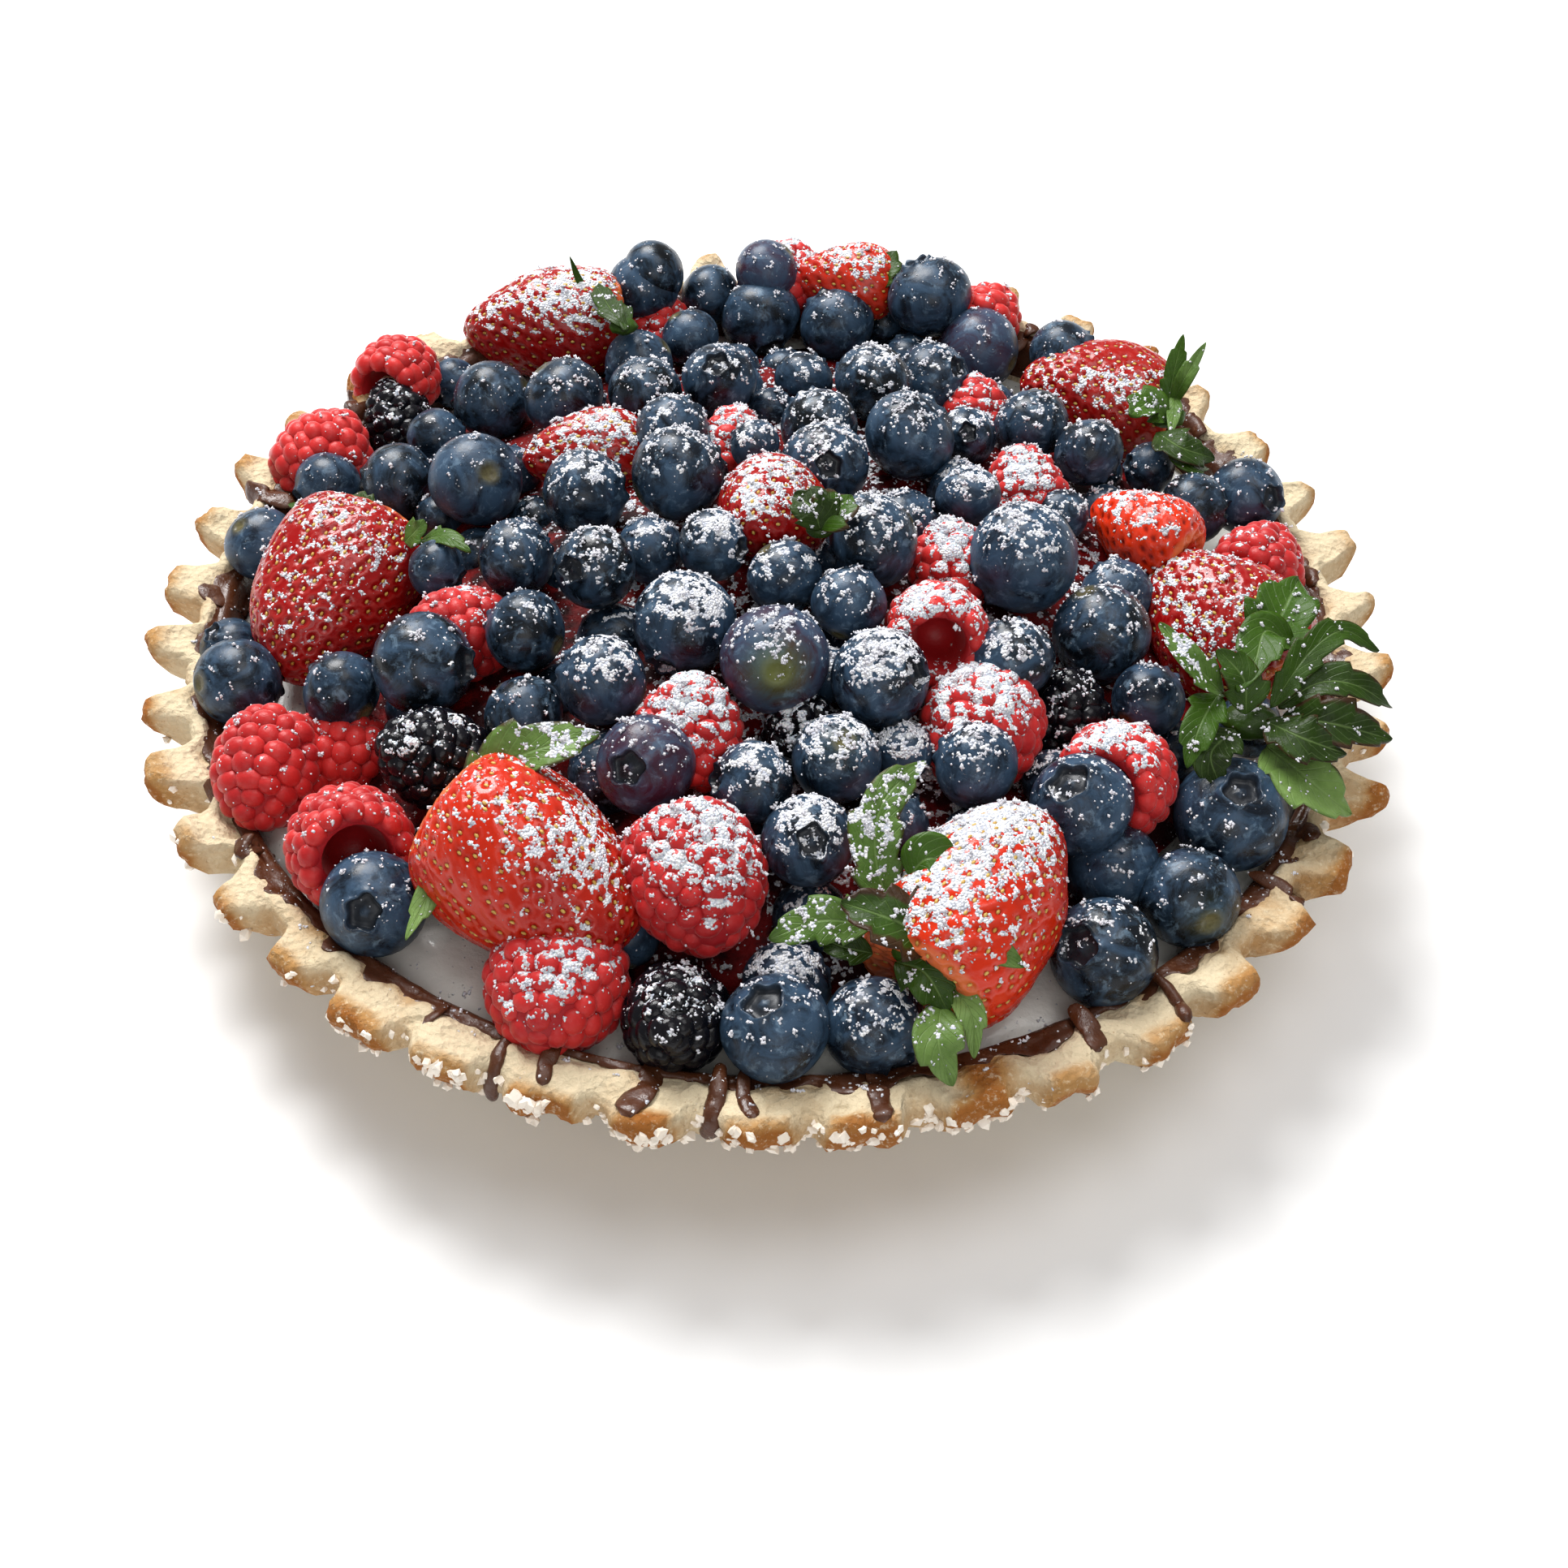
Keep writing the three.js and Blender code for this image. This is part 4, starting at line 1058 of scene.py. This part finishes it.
# ---- Raspberries and brambles
RASPBERRY_OUTLINE = [(0.04, 0.02), (0.0, 0.55), (0.1, 0.88), (0.32, 1.0), (0.58, 0.96), (0.82, 0.68),
                     (0.97, 0.3), (1.0, 0.0)]
CUP_REACH, CUP_DEPTH = 0.56, 0.50      # of the half width and of the length
CUP_EDGE = 0.80               # the berry is cut open where it is this much of its half width
PLAIN_END = 0.44              # of the length, for the core
CORE_RING_COLUMNS = 28
SLOPE_REACH = 0.4
OUTLINE_POINTS = 200
DRUPELET_LIMITS = [(0.56, 0.68), (0.50, 0.60), (0.42, 0.54)]      # of the spacing, on each axis


def dome(turns, columns):
    """Half a ball: a pole and rings at these turns from it, with how near its rim each point is."""
    polar = turns[:, None]
    rings = around(np.sin(polar), angles(columns), np.cos(polar)).reshape(-1, 3)
    ring = np.arange(columns)
    fan = np.stack([0 * ring, 1 + ring, 1 + (ring + 1) % columns], -1)
    faces = np.vstack([fan, 1 + grid_faces(len(turns), columns, True)[:, ::-1]])
    return np.vstack([[0, 0, 1], rings]), faces, np.r_[0, np.repeat(turns / turns[-1], columns)]


DOME, DOME_FACES, DOME_EDGE = dome(np.radians([26, 50, 72, 94]), 10)


def drupelet_core(berry, size, hollow, along, out):
    """Radii, heights and poles of the plain form under the drupelets."""
    rows = slice(8, len(out) - 8, 8)
    core_out, core_along = np.maximum(out[rows] - size * 0.34, 0.3), along[rows]
    first = -PLAIN_END * berry.length
    if hollow:
        first = along[0] + CUP_DEPTH * berry.length
        cup = np.linspace(0.25, 1, 5)
        core_out = np.r_[CUP_REACH * berry.width / 2 * np.sqrt(cup), core_out]
        core_along = np.r_[along[0] + CUP_DEPTH * berry.length * (1 - cup**2), core_along]
    return spun(core_out, core_along, CORE_RING_COLUMNS, first, berry.length * PLAIN_END)


def drupelet_berry(shape, berry, size, hollow, random, sweet):
    """Rings of plump drupelets over a plain core; a hollow one has an open cup at its stalk end."""
    curve = through(RASPBERRY_OUTLINE, OUTLINE_POINTS)
    along = (curve[:, 0] - 0.5) * berry.length
    out = np.abs(curve[:, 1]) * (berry.width / 2)
    if hollow:
        open_at = int(np.argmax(out > CUP_EDGE * berry.width / 2))
        along, out = along[open_at:], out[open_at:]
    basis = frame_on(berry.axis, random.uniform(0, TURN))
    tint = random.uniform(0.1, 0.8)
    points, faces = drupelet_core(berry, size, hollow, along, out)
    shape.add(points @ basis + berry.at, faces, tint=tint * 0.6, edge=1.0, rise=0.0, sweet=sweet * 0.4)
    lengths = np.r_[0, np.cumsum(np.hypot(np.diff(along), np.diff(out)))]
    rings = np.arange(size * (0.1 if hollow else 0.5), lengths[-1] + size * 0.2, size * 0.80)
    for number, place in enumerate(rings):
        places = [place, place + SLOPE_REACH, place - SLOPE_REACH]
        ring_out, after_out, before_out = np.interp(places, lengths, out)
        ring_along, after_along, before_along = np.interp(places, lengths, along)
        slope_out, slope_along = after_out - before_out, after_along - before_along
        if hollow and number == 0:
            slope_out, slope_along = 0.5, 0.5
        count = max(1, round(TURN * max(ring_out - size * 0.2, 0) / size))
        for step in range(count):
            angle = TURN * (step + number * 0.5 + random.uniform(-0.14, 0.14)) / count
            spot = around(ring_out, angle, ring_along)
            normal = unit(around(slope_along, angle, 1e-6 - slope_out))
            spread = np.array([random.uniform(*limits) for limits in DRUPELET_LIMITS]) * size
            spot = spot - normal * (spread[2] * random.uniform(0.85, 1.0))
            side = around(1.0, angle + TURN / 4)
            facing_out = np.array([side, np.cross(normal, side), normal]) @ basis
            points = DOME * spread * (1 + 0.05 * random.normal(size=3))
            own_tint = np.clip(tint + random.uniform(-0.25, 0.25), 0, 1)
            shape.add(points @ facing_out + (spot @ basis + berry.at), DOME_FACES, tint=own_tint,
                      edge=DOME_EDGE, rise=facing_out[2, 2], sweet=sweet * random.uniform(0.7, 1.3))


RASPBERRY_SWEET = [0.4, 1.0, 3.2, 2.0, 1.6, 2.2, 1.6, 4.5, 6.0, 1.5, 1.6, 1.7, 1.6, 1.5, 1.5, 0.9, 1.5]
HOLLOW_SWEET = [0.4, 1.3, 1.5]
OPEN_RASPBERRY = 5            # this one lies with its cup towards the viewer
# Bearing and tilt of the tips, as the open ones lie.
OPEN_TIPS = [(70, -8), (115, -30), (90, -25)]


def turned(berry, bearing, tilt):
    return Long(*seen_at(berry.at)[:2], 0, berry.length, berry.width, bearing, tilt).moved(berry.at)


def raspberries():
    random = np.random.default_rng(11)
    shape = Shape()
    for number, (berry, sweet) in enumerate(zip(RASPBERRIES + LOW_RASPBERRIES, RASPBERRY_SWEET)):
        if number == OPEN_RASPBERRY:
            drupelet_berry(shape, turned(berry, 60, -25), 3.9, True, random, sweet)
        else:
            drupelet_berry(shape, berry, 4.1, False, random, sweet)
    for berry, tip, sweet in zip(HOLLOW_RASPBERRIES, OPEN_TIPS, HOLLOW_SWEET):
        drupelet_berry(shape, turned(berry, *tip), 3.8, True, random, sweet)
    names = numbered("raspberry", RASPBERRIES) + numbered("raspberry_hollow", HOLLOW_RASPBERRIES)
    material = drupelet_material("raspberry", "8e0f1a", "cc302e", "e48c8c", 0.6, 0.38)
    return make_piece("raspberries", shape, material, "raspberry", *names)


BRAMBLE_SWEET = [4.5, 3.4, 2.0, 0.8, 1.2]


def brambles():
    random = np.random.default_rng(12)
    shape = Shape()
    for berry, sweet in zip(BRAMBLES + LOW_BRAMBLES, BRAMBLE_SWEET):
        drupelet_berry(shape, berry, 4.2, False, random, sweet)
    material = drupelet_material("bramble", "050508", "0e0d13", "1c1a24", 0.5, 0.2)
    return make_piece("brambles", shape, material, "bramble", *numbered("bramble", BRAMBLES))


# ---- Strawberries
STRAWBERRY_OUTLINE = [(0.05, 0.0), (0.015, 0.3), (0.0, 0.6), (0.1, 0.88), (0.3, 1.0), (0.58, 0.85),
                      (0.83, 0.5), (0.96, 0.22), (1.0, 0.0)]
STRAWBERRY_SWEET = [3.5, 7.0, 1.35, 5.0, 3.6, 3.0, 2.2, 2.6, 1.7, 1.6]
STRAWBERRY_RIPE = [0.9, 0.8, 0.7, 0.5, 0.75, 0.5, 0.42, 0.85, 0.1, 0.8]
STRAWBERRY_BLUNT = [0.7, 0.4, 0.2, 0.2, 0.4, 0.9, 0.9, 0.5, 0.0, 0.2]
STRAWBERRY_DETAIL = [3.2, 2.2, 1.7, 1.8, 2.1, 2.7, 2.7, 2.5, 2.0, 1.7]   # rows for each millimetre
PIT_WIDTH = 0.72
SEED_SIZE = (0.34, 0.56, 0.26)
SEED_ROOM = 2.5               # square millimetres of length by width for each seed
GRAIN, GRAIN_FACES = ball_grid(2, 6)
CUT_STRAWBERRY = 8            # a cut piece that shows no seeds
# These are plumper, and lie a little otherwise, than their solids.
PLUMPER = {0: Long(406, 738, 0, 36, 29, 248, -12), 5: Long(668, 1082, 2, 37, 33, 322, -12),
           6: Long(1208, 1108, 2, 37, 31, 55, 12), 8: Long(1405, 655, 0, 23, 19, 138, 0)}


def strawberry(shape, seeds, berry, sweet, ripe, blunt, detail, random):
    rows, columns = round(berry.length * detail), round(berry.width * detail * 1.8)
    curve = through(STRAWBERRY_OUTLINE, rows + 2)
    along = (curve[:, 0] - 0.5) * berry.length
    out = np.abs(curve[:, 1]) ** (1 - 0.4 * blunt) * berry.width / 2
    angle = angles(columns)
    lobes = 1 + 0.05 * np.cos(2 * angle + random.uniform(0, TURN))
    lobes += 0.03 * np.cos(3 * angle + random.uniform(0, TURN))
    points, faces = spun(out[1:-1, None] * lobes, along[1:-1], columns, along[0], along[-1])
    points += unit(points) * (0.7 * lumps(points + random.uniform(0, 90, 3), 9))[:, None]
    normals = normals_of(points, faces)
    area = np.cumsum(out * np.hypot(np.gradient(along), np.gradient(out)))
    total = round(berry.length * berry.width / SEED_ROOM)
    wanted = (np.arange(total) + 0.5) / total * area[-1]
    row_at = np.interp(wanted, area, np.arange(rows + 2))
    turn_at = (np.arange(total) * GOLDEN_ANGLE + random.normal(0, 0.05, total)) % TURN
    row = np.clip(np.round(row_at - 1), 0, rows - 1)
    column = np.round(turn_at / TURN * columns) % columns
    index = (1 + row * columns + column).astype(int)
    pits = points[index]
    distance = np.sqrt(((points[:, None, :] - pits[None]) ** 2).sum(axis=2)).min(axis=1)
    pit = np.exp(-((distance / PIT_WIDTH) ** 2))
    raised = np.exp(-(((distance - 1.25) / 0.4) ** 2))
    moved = points + normals * (0.16 * raised - 0.55 * pit)[:, None]
    basis = frame_on(berry.axis, random.uniform(0, TURN))
    calyx = 1 - smooth(0.0, 0.08, points[:, 2] / berry.length + 0.5)
    shape.add(moved @ basis + berry.at, faces, pit=pit, ridge=raised, calyx=calyx, sweet=sweet,
              ripe=ripe + 0.25 * points[:, 2] / berry.length)
    for centre, normal in zip(pits - normals[index] * 0.36, normals[index]):
        stretch = unit(np.cross(normal, np.cross([0, 0, 1.0], normal)) + 1e-9)
        side = np.cross(stretch, normal)
        grain = GRAIN * SEED_SIZE @ np.array([side, stretch, normal])
        seeds.add((grain + centre) @ basis + berry.at, GRAIN_FACES, tint=random.uniform())


def strawberries():
    random = np.random.default_rng(13)
    flesh, seeds = Shape(), Shape()
    rows = zip(STRAWBERRY_SWEET, STRAWBERRY_RIPE, STRAWBERRY_BLUNT, STRAWBERRY_DETAIL)
    for number, (berry, row) in enumerate(zip(STRAWBERRIES, rows)):
        own_seeds = Shape() if number == CUT_STRAWBERRY else seeds
        strawberry(flesh, own_seeds, PLUMPER.get(number, berry), *row, random)
    names = numbered("strawberry", STRAWBERRIES)
    return [make_piece("strawberries", flesh, strawberry_material(), "strawberry", *names),
            make_piece("strawberry_seeds", seeds, seed_material(), "strawberry")]


# ---- Leaves
# For each cluster its leaves: knots as across, down and lift; width, teeth on a side, tone, brown, sweet.
LEAF_CLUSTERS = [
    [([(400, 640, 5), (380, 628, 6), (356, 622, 5)], 4, 2, 0.5, 0.2, 1.6),
     ([(440, 645, 6), (440, 625, 8), (424, 612, 8)], 7, 2, 0.2, 0.1, 0.5),
     ([(450, 650, 6), (462, 636, 8), (474, 632, 7)], 5, 2, 0.5, 0.0, 2.2),
     ([(500, 668, 5), (517, 650, 8), (522, 640, 9)], 6, 1, 0.8, 0.1, 0.2),
     ([(515, 668, 5), (548, 662, 7), (580, 680, 6)], 4.5, 2, 0.7, 0.2, 0.3)],
    [([(772, 405, 8), (755, 385, 11), (732, 349, 14)], 5.5, 2, 0.2, 0.1, 0.4),
     ([(770, 408, 8), (768, 385, 10), (764, 372, 10)], 4, 1, 0.2, 0.0, 0.5),
     ([(738, 372, 11), (716, 350, 15), (702, 316, 21)], 1.7, 0, 0.4, 0.0, 0.2),
     ([(735, 380, 10), (712, 362, 13), (696, 340, 15)], 1.5, 0, 0.4, 0.0, 0.2)],
    [([(1075, 352, 9), (1088, 335, 12), (1104, 309, 15)], 8, 2, 0.3, 0.3, 0.9),
     ([(1072, 352, 9), (1070, 330, 12), (1070, 312, 13)], 6, 2, 0.6, 0.1, 1.4)],
    [([(1438, 505, 8), (1446, 460, 14), (1458, 412, 20)], 4.6, 2, 0.5, 0.1, 0.3),
     ([(1444, 500, 8), (1460, 466, 15), (1486, 422, 20)], 3.6, 1, 0.8, 0.1, 0.2),
     ([(1435, 520, 8), (1415, 500, 10), (1392, 512, 9)], 8, 2, 0.7, 0.0, 1.7),
     ([(1448, 485, 10), (1446, 510, 10), (1442, 536, 8)], 3, 0, 0.9, 0.0, 0.6),
     ([(1426, 534, 7), (1455, 552, 9), (1496, 566, 7)], 8, 2, 0.2, 0.2, 0.5),
     ([(1440, 560, 6), (1465, 572, 7), (1488, 578, 6)], 5, 1, 0.3, 0.0, 0.3)],
    [([(566, 992, 9), (630, 938, 14), (690, 916, 15), (738, 904, 13)], 11, 3, 0.9, 0.35, 3.0),
     ([(566, 990, 9), (558, 1014, 10), (572, 1046, 9)], 7, 2, 0.5, 0.0, 0.5),
     ([(552, 1020, 8), (540, 1075, 9), (500, 1158, 7)], 5, 2, 1.0, 0.0, 0.5)],
    [([(1098, 1128, 7), (1078, 1050, 11), (1090, 985, 13), (1140, 938, 13)], 9, 3, 0.8, 0.3, 1.25),
     ([(1120, 1080, 11), (1145, 1058, 14), (1185, 1075, 13)], 8, 0, 0.6, 0.0, 0.3),
     ([(1160, 1162, 10), (1100, 1134, 15), (1036, 1112, 14)], 12, 4, 0.25, 0.8, 0.3),
     ([(1075, 1140, 8), (1010, 1135, 9), (948, 1158, 7)], 8, 3, 0.8, 0.0, 1.2),
     ([(1075, 1175, 7), (1040, 1168, 8), (1006, 1154, 7)], 5, 2, 0.15, 0.0, 0.4),
     ([(1150, 1160, 12), (1205, 1162, 15), (1262, 1192, 13)], 6, 0, 0.85, 0.15, 0.4),
     ([(1105, 1186, 9), (1140, 1200, 11), (1168, 1246, 7)], 9, 2, 0.3, 0.1, 0.3),
     ([(1160, 1235, 7), (1156, 1285, 7), (1172, 1338, 1)], 8, 1, 0.9, 0.15, 1.2),
     ([(1168, 1210, 8), (1196, 1250, 8), (1200, 1304, 3)], 4.5, 1, 1.0, 0.0, 0.6)],
    [([(1508, 858, 13), (1468, 815, 16), (1428, 768, 16)], 6, 2, 0.8, 0.1, 1.8),
     ([(1500, 856, 12), (1478, 895, 12), (1462, 946, 9)], 7, 2, 0.45, 0.0, 0.4),
     ([(1598, 800, 17), (1560, 778, 19), (1546, 815, 18), (1524, 852, 16)], 8, 1, 0.5, 0.1, 0.3),
     ([(1556, 806, 14), (1575, 765, 18), (1600, 714, 20)], 13, 2, 0.6, 0.1, 0.5),
     ([(1566, 872, 13), (1612, 806, 18), (1655, 778, 19), (1698, 803, 15)], 6, 4, 0.35, 0.2, 0.15),
     ([(1575, 872, 12), (1625, 842, 15), (1670, 845, 15), (1714, 872, 10)], 7, 3, 0.2, 0.3, 0.15),
     ([(1580, 884, 11), (1640, 892, 13), (1714, 912, 8)], 8.5, 3, 0.15, 0.5, 0.35),
     ([(1560, 920, 8), (1610, 960, 8), (1664, 1004, 3)], 13, 3, 0.95, 0.1, 0.8),
     ([(1560, 890, 12), (1605, 910, 14), (1658, 930, 10)], 9, 3, 0.15, 0.3, 0.3),
     ([(1535, 880, 13), (1532, 838, 17), (1500, 800, 18)], 8, 2, 0.3, 0.2, 0.5),
     ([(1520, 900, 10), (1492, 930, 11), (1504, 972, 8)], 8, 2, 0.15, 0.0, 0.3)],
    [([(1010, 652, 9), (1002, 628, 12), (978, 610, 12)], 8, 2, 0.15, 0.1, 0.6),
     ([(1012, 652, 9), (1028, 630, 12), (1050, 612, 12)], 8, 2, 0.6, 0.5, 0.3)]]
# Where the leaves of a cluster meet: across, down, lift, width and tone.
HUBS = [(470, 655, 4, 8, 0.3), (768, 402, 8, 6, 0.3), (1072, 352, 8, 6, 0.3), (1438, 512, 7, 8, 0.5),
        (566, 990, 7, 7, 0.9), (1138, 1168, 8, 11, 0.5), (1540, 888, 9, 10, 0.2), (1010, 652, 8, 5, 0.2)]
LEAF_ROWS, LEAF_COLUMNS = 41, 11
LEAF_THICKNESS = 0.5
FACE_UP = 0.55                # leaves face partly up and partly towards the viewer


def leaf(shape, knots, width, teeth, tone, brown, sweet, random):
    track = through([on_heap(*knot) for knot in knots], LEAF_ROWS)
    along, across = np.meshgrid(np.linspace(0, 1, LEAF_ROWS), np.linspace(-1, 1, LEAF_COLUMNS), indexing="ij")
    forward = unit(np.gradient(track, axis=0))
    face = unit(FACE_UP * np.array([0, 0, 1.0]) + (1 - FACE_UP) * unit(EYE))
    side = unit(np.cross(forward, face))
    above = np.cross(side, forward)
    outline = np.sin(math.pi * along**0.8) ** 0.8
    saw = (along * (teeth + 0.5)) % 1 if teeth else 0.6
    half = width / 2 * (outline * (0.74 + 0.36 * saw) + 0.05)
    lean = random.uniform(0.1, 0.4)
    lift = half * np.abs(across) ** 1.3 * lean
    lift += 0.05 * width * np.sin(along * 10 + across * 2 + random.uniform(0, 6)) * np.abs(across)
    lift += random.uniform(-0.12, 0.12) * width * across * outline
    points = []
    for level in (LEAF_THICKNESS / 2, -LEAF_THICKNESS / 2):
        thin = level * (1 - 0.6 * np.abs(across) ** 3)
        grid = track[:, None] + side[:, None] * (across * half)[..., None]
        points.append((grid + above[:, None] * (lift + thin)[..., None]).reshape(-1, 3))
    count = LEAF_ROWS * LEAF_COLUMNS
    top = grid_faces(LEAF_ROWS, LEAF_COLUMNS, False)
    left = np.arange(LEAF_ROWS) * LEAF_COLUMNS
    border = np.r_[np.arange(LEAF_COLUMNS), left[1:] + LEAF_COLUMNS - 1,
                   np.arange(count - 2, count - LEAF_COLUMNS - 1, -1), left[-2:0:-1]]
    after = np.roll(border, -1)
    rim = np.vstack([np.stack([border, border + count, after], -1),
                     np.stack([after, border + count, after + count], -1)])
    faces = np.vstack([top, top[:, ::-1] + count, rim])
    shape.add(np.vstack(points), faces, along=np.tile(along.ravel(), 2), across=np.tile(across.ravel(), 2),
              tone=tone, brown=brown, sweet=sweet)


def leaves():
    random = np.random.default_rng(17)
    shape = Shape()
    for cluster, (across, down, lift, width, tone) in zip(LEAF_CLUSTERS, HUBS):
        boss, boss_faces = ball_grid(9, 16)
        boss = boss * width / 2 * (1 + 0.1 * lumps(boss * 3 + across, 1))[:, None] * [1, 0.8, 0.5]
        shape.add(boss + on_heap(across, down, lift), boss_faces, along=0.5, across=0.3, tone=tone, brown=0.0,
                  sweet=0.6)
        for row in cluster:
            leaf(shape, *row, random)
    return make_piece("leaves", shape, leaf_material(), "leaves", *numbered("leaves", LEAF_CLUSTERS))


# ---- Sugar
CLUMPS = 2500
CLUMP_GRAINS = (3, 12)
GRAINS = 4500
SCATTER_RADIUS = 111
DROP_HEIGHT = 150
OCTAHEDRON = np.array([(1, 0, 0), (0, 1, 0), (-1, 0, 0), (0, -1, 0), (0, 0, 1), (0, 0, -1)], float)
OCTAHEDRON_FACES = np.array([(0, 1, 4), (1, 2, 4), (2, 3, 4), (3, 0, 4), (1, 0, 5), (2, 1, 5), (3, 2, 5),
                             (0, 3, 5)])


def sugar(pieces):
    """Icing sugar dropped from above: clumps of grains where it lies thick, and loose grains."""
    random = np.random.default_rng(23)
    tree = surface_of(pieces)
    down = Vector((0, 0, -1))
    clumps, loose = Shape(), Shape()
    made = 0
    while made < CLUMPS + GRAINS:
        spot = SCATTER_RADIUS * math.sqrt(random.uniform()) * direction(random.uniform(0, 360), 0)
        hit, normal, _, _ = tree.ray_cast(Vector((*spot[:2], DROP_HEIGHT)), down)
        if hit is None or normal.z < 0.15:
            continue
        at, basis = np.array(hit), frame_on(normal, random.uniform(0, TURN))
        field = float(sugar_field(at[None], np.array([normal.z]), 1.0)[0])
        inside = 1.0 if math.hypot(*at[:2]) < INNER_EDGE else 0.15
        if random.uniform() > (1.6 * field if made < CLUMPS else 0.3 + 0.7 * field) * inside:
            continue
        made += 1
        count = 1 if made > CLUMPS else random.integers(*CLUMP_GRAINS)
        size = random.uniform(0.17, 0.36, (count, 1, 1)) * (0.7 if count == 1 else 1.0)
        form = OCTAHEDRON * size * random.uniform(0.55, 1.35, (count, 6, 1))
        form = form * random.uniform(0.8, 1.4, (count, 1, 3))
        walk = np.cumsum(random.normal(0, 0.30, (count, 3)) * [1, 1, 0.35], axis=0)
        walk[:, 2] = np.abs(walk[:, 2])
        points = (form + walk[:, None]).reshape(-1, 3) @ basis + at
        faces = (OCTAHEDRON_FACES + 6 * np.arange(count)[:, None, None]).reshape(-1, 3)
        (loose if count == 1 else clumps).add(points, faces)
    material = sugar_material()
    return [make_piece("sugar_clumps", clumps, material, "cream"),
            make_piece("sugar_grains", loose, material, "cream")]


CRYSTALS = 260


def coarse_sugar():
    """Coarse clear crystals stuck in groups along the lower edge of the crust, mostly at the front."""
    random = np.random.default_rng(29)
    shape = Shape()
    crystal, crystal_faces = ball_grid(2, 5)
    made = 0
    while made < CRYSTALS:
        angle = np.radians([random.normal(268, 32)])
        if rough(around(TIP_RADIUS, angle), 14, 2, 3)[0] < random.uniform(-0.4, 0.5):
            continue
        made += 1
        outer = rim_outer(angle)
        drop = random.uniform(0.5, 7)
        centre = around(outer - 0.2 - 0.02 * drop**2, angle, rim_top(angle, outer - LIP[-1][0]) - drop)
        basis = frame_on(random.normal(size=3), random.uniform(0, TURN))
        size = min(random.uniform(0.45, 0.95) + random.exponential(0.2), 1.5)
        points = crystal * size * random.uniform(0.7, 1.2, 3)
        points = points * (1 + 0.18 * random.normal(size=(len(crystal), 1)))
        shape.add(points @ basis + centre, crystal_faces)
    piece = make_piece("coarse_sugar", shape, crystal_material(), "cream")
    piece.data.polygons.foreach_set("use_smooth", np.zeros(len(piece.data.polygons), bool))
    return piece


# ---- Stage, in metres
LIT = (0, 0, 0.03)            # where the lamps point
FLOOR_HALF = 3.0


def floor():
    mesh = bpy.data.meshes.new("floor")
    corners = [(-FLOOR_HALF, -FLOOR_HALF, 0), (FLOOR_HALF, -FLOOR_HALF, 0), (FLOOR_HALF, FLOOR_HALF, 0),
               (-FLOOR_HALF, FLOOR_HALF, 0)]
    mesh.from_pydata(corners, [], [(0, 1, 2, 3)])
    mesh.materials.append(floor_material())
    put("floor", mesh)


def lamp(name, place, size, power):
    data = bpy.data.lights.new(name, "AREA")
    data.shape = "DISK"
    data.size = size
    data.energy = power
    light = put(name, data)
    light.location = place
    light.rotation_euler = (Vector(LIT) - Vector(place)).to_track_quat("-Z", "Y").to_euler()


def lights():
    lamp("key", (-0.35, 0.7, 0.95), 0.7, 22.0)
    lamp("top", (0.35, 0.0, 1.3), 0.8, 5.0)
    lamp("front", (0.1, -1.2, 0.8), 1.0, 4.0)
    world = bpy.data.worlds.new("studio")
    world.use_nodes = True
    sky = world.node_tree.nodes["Background"].inputs
    sky["Color"].default_value = (1, 1, 1, 1)
    sky["Strength"].default_value = 0.35
    bpy.context.scene.world = world
    bpy.context.scene.view_settings.view_transform = "Standard"


SENSOR = 36.0                 # in millimetres
PICTURE = 1932                # in pixels


def camera():
    data = bpy.data.cameras.new("camera")
    data.sensor_width = SENSOR
    data.lens = REACH * SENSOR / PICTURE
    data.clip_start, data.clip_end = 0.01, 10
    view = put("camera", data)
    basis = Matrix([list(VIEW_RIGHT), list(VIEW_UP), list(-AHEAD)]).transposed()
    view.matrix_world = Matrix.Translation(Vector(EYE * MM)) @ basis.to_4x4()
    bpy.context.scene.camera = view


# ---- The tart
camera()
floor()
lights()
shell = crust()
toppings = [shell, chocolate(shell), cream(), heap_inside(), blueberries(), raspberries(), brambles(),
            *strawberries(), leaves()]
sugar(toppings)
coarse_sugar()
